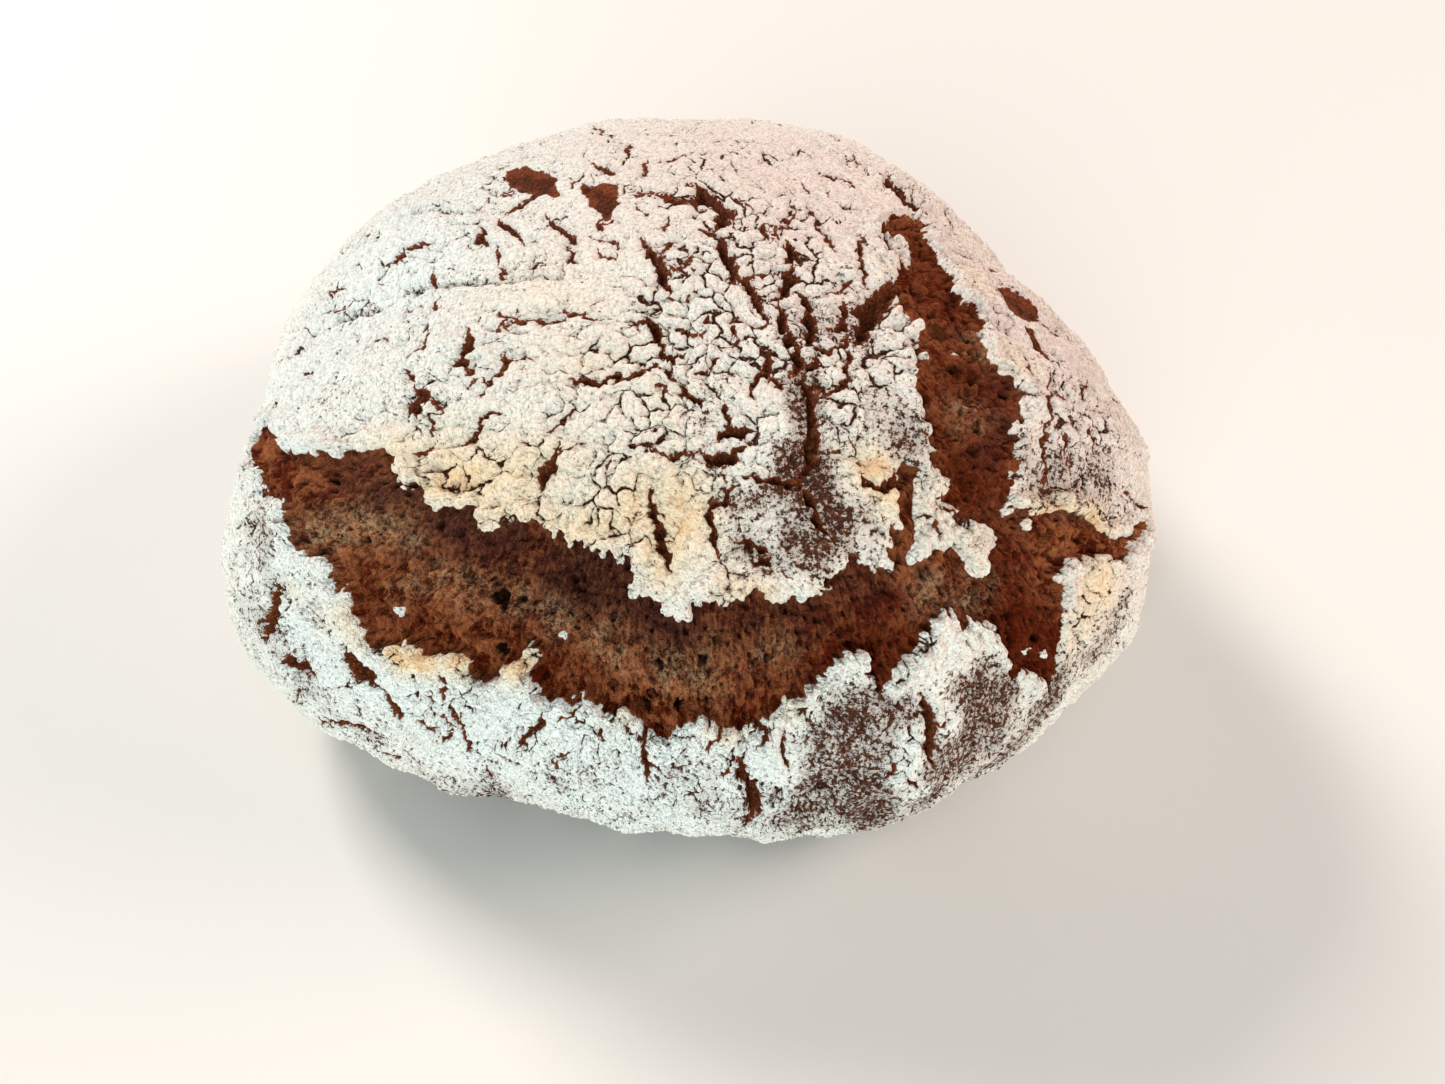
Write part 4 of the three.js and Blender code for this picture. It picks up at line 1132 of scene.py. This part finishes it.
def relief_modifier(disc):
    """Geometry nodes that push the skin in and out by fine patterns in millimetres."""
    tree = bpy.data.node_groups.new("rye_relief", "GeometryNodeTree")
    tree.interface.new_socket("Geometry", in_out="INPUT", socket_type="NodeSocketGeometry")
    tree.interface.new_socket("Geometry", in_out="OUTPUT", socket_type="NodeSocketGeometry")
    start = tree.nodes.new("NodeGroupInput")
    end = tree.nodes.new("NodeGroupOutput")
    rest, peel, net_place, strand = (
        add(tree, "GeometryNodeInputNamedAttribute", {"Name": name}, data_type="FLOAT_VECTOR")
        for name in ("rest", "peel", "net_place", "strand"))
    torn_by, gap, net_width, flour = (
        add(tree, "GeometryNodeInputNamedAttribute", {"Name": name}, data_type="FLOAT")
        for name in ("torn", "gap", "net_width", "flour"))
    on_crumb = add(tree, "ShaderNodeMapRange", (torn_by, 0.4, 1.3), interpolation_type="SMOOTHSTEP")
    on_crust = add(tree, "ShaderNodeMapRange", (torn_by, 0.0, -0.5), interpolation_type="SMOOTHSTEP")
    beside_crack = add(tree, "ShaderNodeMapRange", (gap, -0.1, 0.3), interpolation_type="SMOOTHSTEP")
    broken = add(tree, "ShaderNodeMapRange", (gap, 0.0, -0.5, 0.0, 0.45))
    broken = add(tree, "ShaderNodeMath", (broken, on_crust), operation="MULTIPLY")
    rough = add(tree, "ShaderNodeMath", (broken, on_crumb), operation="MAXIMUM")
    on_crust = add(tree, "ShaderNodeMath", (on_crust, beside_crack), operation="MULTIPLY")
    # Caked flour: rounded granules in clumps, lower where the flour is thin.
    clump = granules(tree, rest, CLUMP)
    granule = granules(tree, rest, GRANULE)
    caked = add(tree, "ShaderNodeMath", (clump, 0.45, -0.55), operation="MULTIPLY_ADD")
    caked = add(tree, "ShaderNodeMath", (granule, 0.6, caked), operation="MULTIPLY_ADD")
    caked = add(tree, "ShaderNodeMath", (caked, flour), operation="MULTIPLY")
    # The fine net's lines are grooves between plates with rounded shoulders.
    away = crazing(tree, net_place)
    groove = add(tree, "ShaderNodeMapRange", (away, 0.0, 1.3, -1.05, 0.0),
                 interpolation_type="SMOOTHSTEP")
    opened = add(tree, "ShaderNodeMapRange", (net_width, -0.25, 0.2), interpolation_type="SMOOTHSTEP")
    crust = add(tree, "ShaderNodeMath", (groove, opened, caked), operation="MULTIPLY_ADD")
    crust = add(tree, "ShaderNodeMath", (crust, on_crust), operation="MULTIPLY")
    # Torn crumb: fine lumps, and a pit in the middle of each bubble that opened.
    lumps = add(tree, "ShaderNodeTexNoise", {"Vector": rest, "Scale": 1 / CRUMB_LUMP, "Detail": 3.0,
                                             "Roughness": 0.7})
    crumb = add(tree, "ShaderNodeMath", (lumps, 2.6, -2.2), operation="MULTIPLY_ADD")
    crumb = add(tree, "ShaderNodeMath", (strands(tree, strand), 1.8, crumb), operation="MULTIPLY_ADD")
    crumb = add(tree, "ShaderNodeMath", (crumb, bubbles(tree, peel)), operation="SUBTRACT")
    height = add(tree, "ShaderNodeMath", (crumb, rough, crust), operation="MULTIPLY_ADD")
    position = add(tree, "GeometryNodeInputPosition")
    above_foot = add(tree, "ShaderNodeSeparateXYZ", (position,), out="Z")
    share = add(tree, "ShaderNodeMapRange", (above_foot, 0.0, FOOT_CALM, 0.0, MM),
                interpolation_type="SMOOTHSTEP")
    share = add(tree, "ShaderNodeMath", (share, height), operation="MULTIPLY")
    normal = add(tree, "GeometryNodeInputNormal")
    offset = add(tree, "ShaderNodeVectorMath", {0: normal, "Scale": share}, operation="SCALE")
    moved = add(tree, "GeometryNodeSetPosition", {"Geometry": start.outputs[0], "Offset": offset})
    tree.links.new(moved, end.inputs[0])
    modifier = disc.modifiers.new("relief", "NODES")
    modifier.node_group = tree
    bpy.context.view_layer.objects.active = disc
    bpy.ops.object.modifier_apply(modifier=modifier.name)


# ---- Finish ----

def bread_finish(colours):
    """Baked rye bread: chalky caked flour over a dull brown crust, and rough moist crumb in the
    tears. Flour is matt and granular, so it looks soft; bare crust and crumb have a slight sheen.
    Some of the colours are painted light: bluish light and warm reflected light on the flour,
    shade between its granules, deep in cracks, in the crumb's pits and pores and under the lip,
    and highlights on the crumb and bare crust."""
    material = bpy.data.materials.new("floured_rye_crust")
    material.use_nodes = True
    tree = material.node_tree
    shader = tree.nodes["Principled BSDF"]
    rgba = {name: (*getattr(colours, name), 1.0) for name in LoafColours.__annotations__}
    object_place = add(tree, "ShaderNodeTexCoord", out="Object")
    place = add(tree, "ShaderNodeVectorMath", {0: object_place, "Scale": 1 / MM}, operation="SCALE")
    peel, net_place, strand = (add(tree, "ShaderNodeAttribute", out="Vector", attribute_name=name)
                               for name in ("peel", "net_place", "strand"))
    (torn_by, gap, side, half, clump, flour, bald, net_width, streaked, toasted, under_lip, ochre,
     tint, mottle, ruddy, pored, cool_light, warm_reflection) = (
        add(tree, "ShaderNodeAttribute", out="Fac", attribute_name=name)
        for name in ("torn", "gap", "side", "half", "clump", "flour", "bald", "net_width",
                     "streaked", "toasted", "under_lip", "ochre", "tint", "mottle", "ruddy",
                     "pored", "cool_light", "warm_reflection"))

    # Dust and grains of flour, in rounded granules.
    dust = add(tree, "ShaderNodeTexNoise", {"Vector": place, "Scale": 1 / DUST, "Detail": 0.0})
    fine = add(tree, "ShaderNodeTexNoise", {"Vector": place, "Scale": 1 / GRAIN, "Detail": 1.5,
                                            "Roughness": 0.6})
    granule = granules(tree, place, GRANULE)
    ragged = add(tree, "ShaderNodeMath", (fine, 0.5, -0.25), operation="MULTIPLY_ADD")

    # Distance to the nearest crack's side, true between the mesh's vertices too.
    beside = add(tree, "ShaderNodeMath", (side,), operation="ABSOLUTE")
    beside = add(tree, "ShaderNodeMath", (beside, half), operation="SUBTRACT")
    near = add(tree, "ShaderNodeMath", (gap, 0.6), operation="SUBTRACT")
    crack_gap = add(tree, "ShaderNodeMath", (beside, near), operation="MAXIMUM")
    crack_gap = add(tree, "ShaderNodeMath", (clump, 0.5, crack_gap), operation="MULTIPLY_ADD")
    crack_gap = add(tree, "ShaderNodeMath", (granule, 0.26, crack_gap), operation="MULTIPLY_ADD")
    crack_gap = add(tree, "ShaderNodeMath", (crack_gap, 0.43), operation="SUBTRACT")
    crack_edge = add(tree, "ShaderNodeMath", (crack_gap, ragged), operation="ADD")
    clear_of_crack = add(tree, "ShaderNodeMapRange", (crack_edge, -0.06, 0.08))
    # The fine net.
    away = crazing(tree, net_place)
    net_gap = add(tree, "ShaderNodeMath", (away, net_width), operation="SUBTRACT")
    net_gap = add(tree, "ShaderNodeMath", (granule, 0.3, net_gap), operation="MULTIPLY_ADD")
    net_gap = add(tree, "ShaderNodeMath", (ragged, 1.2, net_gap), operation="MULTIPLY_ADD")
    clear_of_net = add(tree, "ShaderNodeMapRange", (net_gap, 0.0, 0.22))
    # The torn edge, and bald patches.
    edge = add(tree, "ShaderNodeMath", (ragged, 0.7, torn_by), operation="MULTIPLY_ADD")
    on_crust = add(tree, "ShaderNodeMapRange", (edge, 0.27, 0.15))
    bald_edge = add(tree, "ShaderNodeMath", (ragged, 1.6, bald), operation="MULTIPLY_ADD")
    not_bald = add(tree, "ShaderNodeMapRange", (bald_edge, 0.12, -0.12))

    # Powder: where flour is thin, its grains stand apart; some is combed into streaks, about 1.1 mm
    # across and 5 mm long.
    streak_place = add(tree, "ShaderNodeMapping", {"Vector": peel, "Scale": (0.9, 0.2, 1.0)})
    streaks = add(tree, "ShaderNodeTexNoise", {"Vector": streak_place, "Scale": 1.0, "Detail": 2.0,
                                               "Roughness": 0.6}, noise_dimensions="2D")
    streaks = add(tree, "ShaderNodeMath", (streaks, 0.5), operation="SUBTRACT")
    combed = add(tree, "ShaderNodeMath", (streaks, streaked), operation="MULTIPLY")
    amount = -1.83
    for field, weight in ((fine, 1.3), (clump, 0.7), (dust, 0.9), (granule, 0.4), (mottle, 0.4),
                          (combed, 1.8), (flour, 1.22)):
        amount = add(tree, "ShaderNodeMath", (field, weight, amount), operation="MULTIPLY_ADD")
    dusted = add(tree, "ShaderNodeMapRange", (amount, 0.2, 0.66))
    cover = clear_of_crack
    for share in (clear_of_net, on_crust, not_bald, dusted):
        cover = add(tree, "ShaderNodeMath", (cover, share), operation="MULTIPLY")

    # Flour: browned by the oven in places, and crust shows through it where it is thin; painted shade lies
    # between its granules.
    browned = add(tree, "ShaderNodeMapRange", (mottle, 0.25, 0.6, 0.75, 1.0))
    browned = add(tree, "ShaderNodeMath", (browned, toasted), operation="MULTIPLY")
    scorched = add(tree, "ShaderNodeMapRange", (browned, 0.75, 1.1, 0.0, 0.9))
    grains = add(tree, "ShaderNodeMath", (fine, 1.0, granule), operation="MULTIPLY_ADD")
    # Darker towards the pit colour: painted shade between granules, and crust showing through beside
    # cracks and the fine net, where the powder ends and where the flour is thin.
    shade = 0.0
    for field, limits in ((grains, (0.8, 0.4, 0.0, 0.35)), (crack_gap, (1.0, 0.0, 0.0, 0.24)),
                          (net_gap, (0.7, 0.0, 0.0, 0.26)), (amount, (0.35, 0.75, 0.5, 0.0)),
                          (flour, (0.65, 0.25, 0.0, 0.5))):
        darkening = add(tree, "ShaderNodeMapRange", (field, *limits))
        shade = add(tree, "ShaderNodeMath", (darkening, shade), operation="MAXIMUM")

    bits = add(tree, "ShaderNodeTexNoise", {"Vector": place, "Scale": 1 / CRUMB_BIT, "Detail": 3.0,
                                            "Roughness": 0.7})
    strung = strands(tree, strand)
    # Bare crust: dark and dull where flour was brushed off, redder where it broke open, with painted shade
    # deep in cracks, in the fine net's lines and in the pits of its texture, and painted glints.
    broken = add(tree, "ShaderNodeMapRange", (crack_gap, 0.35, -0.1))
    flaked = add(tree, "ShaderNodeMath", (1.0, not_bald), operation="SUBTRACT")
    broken = add(tree, "ShaderNodeMath", (broken, flaked), operation="MAXIMUM")
    # Painted shade, darker towards a crack's middle and in the fine net's lines.
    deep = add(tree, "ShaderNodeMapRange", (crack_gap, 0.0, -0.9, 0.1, 0.55))
    net_line_shade = add(tree, "ShaderNodeMapRange", (net_gap, 0.15, -0.1, 0.0, 0.6))
    deep = add(tree, "ShaderNodeMath", (deep, net_line_shade), operation="MAXIMUM")
    # Painted shade in the low places of the bumped texture, and painted glints on the grain.
    pit_shade = add(tree, "ShaderNodeMapRange", (bits, 0.5, 0.34, 0.0, 0.55))
    glint = add(tree, "ShaderNodeMapRange", (fine, 0.5, 0.75, 0.0, 0.45))

    # Crumb: redder or ochre in patches, with painted highlights on its raised bits and strands, painted
    # shade in the low places between them and in opened bubbles, and a dark band under the lip that is
    # partly painted shadow.
    red = add(tree, "ShaderNodeMapRange", (mottle, 0.6, 0.35), interpolation_type="SMOOTHSTEP")
    red = add(tree, "ShaderNodeMath", (red, ruddy), operation="MAXIMUM")
    stray = add(tree, "ShaderNodeMapRange", (tint, 0.62, 0.85, 0.0, 0.35))
    stray = add(tree, "ShaderNodeMath", (stray, ruddy), operation="SUBTRACT", use_clamp=True)
    yellow = add(tree, "ShaderNodeMath", (ochre, stray), operation="MAXIMUM")
    patchy = add(tree, "ShaderNodeMapRange", (bits, 0.41, 0.6, 0.0, 0.9))
    yellow = add(tree, "ShaderNodeMath", (yellow, patchy), operation="MULTIPLY")
    # The dark band under the lip: the crumb's own purplish brown, with painted shadow of the lip.
    mauve_and_lip_shadow = add(tree, "ShaderNodeMath", (under_lip, 0.95), operation="MULTIPLY")
    # Painted highlights on raised bits and on strands, fewer on red crumb and under the lip.
    highlight = add(tree, "ShaderNodeMapRange", (bits, 0.54, 0.72, 0.0, 0.6))
    strand_highlight = add(tree, "ShaderNodeMapRange", (strung, 0.52, 0.68, 0.0, 0.6))
    highlight = add(tree, "ShaderNodeMath", (highlight, strand_highlight), operation="MAXIMUM")
    highlight_share = add(tree, "ShaderNodeMath", (ruddy, -0.75, 1.0), operation="MULTIPLY_ADD")
    highlight_share = add(tree, "ShaderNodeMath", (under_lip, -0.6, highlight_share), operation="MULTIPLY_ADD",
                use_clamp=True)
    highlight = add(tree, "ShaderNodeMath", (highlight, highlight_share), operation="MULTIPLY")
    # Painted shade in low bits, between strands and in the pits of opened bubbles.
    crumb_hollow_shade = add(tree, "ShaderNodeMapRange", (bits, 0.45, 0.33, 0.0, 0.45))
    between = add(tree, "ShaderNodeMapRange", (strung, 0.46, 0.34, 0.0, 0.5))
    crumb_hollow_shade = add(tree, "ShaderNodeMath", (crumb_hollow_shade, between), operation="MAXIMUM")
    bubble_shade = add(tree, "ShaderNodeMath", (bubbles(tree, peel), 0.6), operation="MULTIPLY")
    crumb_hollow_shade = add(tree, "ShaderNodeMath", (crumb_hollow_shade, bubble_shade), operation="MAXIMUM")
    # A pore is a deep pit in the crumb, and no light gets to its bottom: its inside gets painted shade,
    # near black.
    pore_shade = add(tree, "ShaderNodeMapRange", (pored, 0.5, 1.6, 0.0, 0.93))

    # Each finish is its first colour with the others laid over it, one after the other.
    # The flour's bluish and warm layers are painted light: bluish light on its left and front, warm
    # reflected light on its right.
    layers = {
        "flour": ((cool_light, "flour_cool_light"), (warm_reflection, "flour_warm_reflection"), (browned, "flour_toasted"),
                  (scorched, "flour_scorched"), (shade, "flour_thin_and_shaded")),
        "crust_under": ((broken, "crust"), (deep, "crust_shade"), (pit_shade, "crust_shade"),
                        (glint, "crumb_highlight")),
        "crumb": ((red, "crumb_red"), (yellow, "crumb_ochre"), (mauve_and_lip_shadow, "crumb_dark_and_lip_shadow"),
                  (highlight, "crumb_highlight"), (crumb_hollow_shade, "crust_shade"), (pore_shade, "crumb_pore_shade")),
    }
    finishes = []
    for first, others in layers.items():
        finish = rgba[first]
        for share, name in others:
            finish = add(tree, "ShaderNodeMix", {0: share, 6: finish, 7: rgba[name]}, out=2,
                         data_type="RGBA")
        finishes.append(finish)
    powder, crust, crumb = finishes
    bare = add(tree, "ShaderNodeMix", {0: on_crust, 6: crumb, 7: crust}, out=2, data_type="RGBA")
    skin = add(tree, "ShaderNodeMix", {0: cover, 6: bare, 7: powder}, out=2, data_type="RGBA")
    tree.links.new(skin, shader.inputs["Base Color"])

    roughness = add(tree, "ShaderNodeMapRange", (cover, 0.0, 1.0, 0.55, 1.0))
    tree.links.new(roughness, shader.inputs["Roughness"])
    shader.inputs["Specular IOR Level"].default_value = 0.03

    # Grain too fine for the mesh, in millimetres: granules of flour and the crumb's pitted texture.
    # It is split by smooth fields alone, because a bump works out its height three times over.
    floury = add(tree, "ShaderNodeMapRange", (torn_by, 0.4, 0.1))
    whole = add(tree, "ShaderNodeMapRange", (gap, -0.25, 0.05))
    floury = add(tree, "ShaderNodeMath", (floury, whole), operation="MULTIPLY")
    grain = add(tree, "ShaderNodeMath", (granule, 0.4, fine), operation="MULTIPLY_ADD")
    flour_height = add(tree, "ShaderNodeMath", (grain, 0.9), operation="MULTIPLY")
    bare_height = add(tree, "ShaderNodeMath", (bits, 2.0), operation="MULTIPLY")
    height = add(tree, "ShaderNodeMix", {0: floury, 2: bare_height, 3: flour_height})
    bump = add(tree, "ShaderNodeBump", {"Height": height, "Strength": 1.0, "Distance": MM})
    tree.links.new(bump, shader.inputs["Normal"])
    return material


# ---- Parting the skin into closed pieces ----

def whole_faces(mesh, part):
    """The piece that each face belongs to, with seams that never touch themselves."""
    corners = np.zeros(len(mesh.polygons) * 3, np.int32)
    mesh.polygons.foreach_get("vertices", corners)
    return part[corners.reshape(-1, 3)].max(1)


def choose_faces(mesh, chosen):
    """Selects just the chosen faces, in face mode."""
    mesh.vertices.foreach_set("select", np.zeros(len(mesh.vertices), bool))
    mesh.edges.foreach_set("select", np.zeros(len(mesh.edges), bool))
    mesh.polygons.foreach_set("select", chosen)
    mesh.update()


def only(piece):
    """Selects one piece alone and makes it active."""
    bpy.ops.object.select_all(action="DESELECT")
    piece.select_set(True)
    bpy.context.view_layer.objects.active = piece


def close_towards(piece, point, shares=(1.0,)):
    """Draws a piece's open rim in towards a point, by those shares of the way, until it meets."""
    only(piece)
    for share in shares:
        bpy.ops.object.mode_set(mode="EDIT")
        bpy.ops.mesh.select_mode(type="EDGE")
        bpy.ops.mesh.select_all(action="DESELECT")
        bpy.ops.mesh.select_non_manifold(extend=False, use_wire=False, use_boundary=True,
                                         use_multi_face=False, use_non_contiguous=False,
                                         use_verts=False)
        bpy.ops.mesh.extrude_edges_move()
        bpy.ops.object.mode_set(mode="OBJECT")
        mesh = piece.data
        drawn_in = np.zeros(len(mesh.vertices), bool)
        mesh.vertices.foreach_get("select", drawn_in)
        places = np.zeros(len(mesh.vertices) * 3, np.float32)
        mesh.vertices.foreach_get("co", places)
        places = places.reshape(-1, 3)
        places[drawn_in] += (np.array(point) - places[drawn_in]) * share
        mesh.vertices.foreach_set("co", places.ravel())
    bpy.ops.object.mode_set(mode="EDIT")
    bpy.ops.mesh.merge(type="CENTER")
    bpy.ops.mesh.select_all(action="SELECT")
    bpy.ops.mesh.quads_convert_to_tris()
    bpy.ops.object.mode_set(mode="OBJECT")


def parted(whole):
    """Parts the closed loaf into cap, skirt, foot and torn crumb, which fill it between them."""
    part = whole_faces(whole.data, stored_values(whole.data, "part").round().astype(int))
    pieces = []
    for number in range(len(PIECES) - 1, 0, -1):
        only(whole)
        choose_faces(whole.data, part == number)
        before = set(bpy.data.objects)
        bpy.ops.object.mode_set(mode="EDIT")
        bpy.ops.mesh.select_mode(type="FACE")
        bpy.ops.mesh.separate(type="SELECTED")
        bpy.ops.object.mode_set(mode="OBJECT")
        part = part[part != number]
        piece = (set(bpy.data.objects) - before).pop()
        piece.name = piece.data.name = PIECES[number]
        pieces.append(piece)
    whole.name = whole.data.name = PIECES[0]
    pieces.append(whole)
    for piece in pieces:
        close_towards(piece, HEART)
        normals = stored_values(piece.data, "whole_normal")
        bpy.ops.object.shade_smooth()
        piece.data.normals_split_custom_set_from_vertices(normals)
    return pieces


class LOAF_OT_body(bpy.types.Operator):
    """Builds the loaf's floured crust and torn crumb"""
    bl_idname = "loaf.body"
    bl_label = "Crust and Crumb"

    def execute(self, context):
        sizes = context.scene.loaf_sizes
        disc, place = new_disc(DISC_CUTS)
        sculpt(disc, place, sizes)
        relief_modifier(disc)
        close_towards(disc, (0.0, 0.0, 0.0), UNDERSIDE_SHARES)
        normals = np.zeros(len(disc.data.vertices) * 3, np.float32)
        disc.data.vertices.foreach_get("normal", normals)
        store(disc.data, "whole_normal", normals.reshape(-1, 3))
        material = bread_finish(context.scene.loaf_colours)
        disc.data.materials.append(material)
        for piece in parted(disc):
            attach(piece, "root")
            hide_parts("loaf")
        return {"FINISHED"}


class LOAF_OT_stage(bpy.types.Operator):
    """Sets the camera, the pale floor and soft studio light"""
    bl_idname = "loaf.stage"
    bl_label = "Camera, Floor and Light"

    def execute(self, context):
        stage = context.scene.loaf_stage
        bpy.ops.object.camera_add(location=stage.camera_place,
                                  rotation=(math.pi / 2 - stage.camera_dip, 0, 0))
        camera = context.object
        camera.data.lens = stage.lens
        camera.data.sensor_width = 36
        camera.data.clip_start = 0.01
        context.scene.camera = camera

        bpy.ops.mesh.primitive_plane_add(size=stage.floor_size, location=(0, 0, -0.0002))
        floor = context.object
        floor.name = "floor"
        material = bpy.data.materials.new("painted_floor")
        material.use_nodes = True
        shader = material.node_tree.nodes["Principled BSDF"]
        shader.inputs["Base Color"].default_value = (*stage.floor_colour, 1)
        shader.inputs["Roughness"].default_value = 0.7
        floor.data.materials.append(material)

        world = bpy.data.worlds.new("studio")
        world.use_nodes = True
        background = world.node_tree.nodes["Background"]
        background.inputs["Color"].default_value = (*linear("EDEEF0"), 1)
        background.inputs["Strength"].default_value = stage.air_light
        context.scene.world = world
        lights = (
            # name, place, size, power, colour
            ("window", (-1.8, 1.8, 1.95), 0.9, 98.0, "FBF4F0"),
            ("fill", (-0.9, -3.0, 1.2), 2.1, 110.0, "DEF1F4"),
            ("warm", (2.7, 0.3, 1.35), 1.5, 70.0, "FFEAE0"),
        )
        for name, place, size, power, hex_colour in lights:
            bpy.ops.object.light_add(type="AREA", location=place)
            lamp = context.object
            lamp.name = name
            lamp.data.size = size
            lamp.data.energy = power
            lamp.data.color = linear(hex_colour)
            aim = -lamp.location.normalized()
            lamp.rotation_euler = aim.to_track_quat("-Z", "Y").to_euler()
        context.scene.view_settings.view_transform = "Standard"
        return {"FINISHED"}


class LOAF_PT_panel(bpy.types.Panel):
    """The loaf's settings and its operators"""
    bl_label = "Rye Loaf"
    bl_idname = "LOAF_PT_panel"
    bl_space_type = "VIEW_3D"
    bl_region_type = "UI"
    bl_category = "Rye Loaf"

    def draw(self, context):
        scene = context.scene
        for group in (scene.loaf_sizes, scene.loaf_colours, scene.loaf_stage):
            box = self.layout.box()
            for name in group.__annotations__:
                box.prop(group, name)
        for operator in OPERATORS:
            self.layout.operator(operator.bl_idname)


OPERATORS = (LOAF_OT_body, LOAF_OT_stage)
GROUPS = {"loaf_sizes": LoafSizes, "loaf_colours": LoafColours, "loaf_stage": StageSettings}
CLASSES = (*GROUPS.values(), *OPERATORS, LOAF_PT_panel)


def register():
    for cls in CLASSES:
        bpy.utils.register_class(cls)
    for name, group in GROUPS.items():
        setattr(bpy.types.Scene, name, bpy.props.PointerProperty(type=group))


def unregister():
    for name in GROUPS:
        delattr(bpy.types.Scene, name)
    for cls in reversed(CLASSES):
        bpy.utils.unregister_class(cls)


def main():
    register()
    bpy.ops.loaf.body()
    bpy.ops.loaf.stage()


if __name__ == "__main__":
    main()
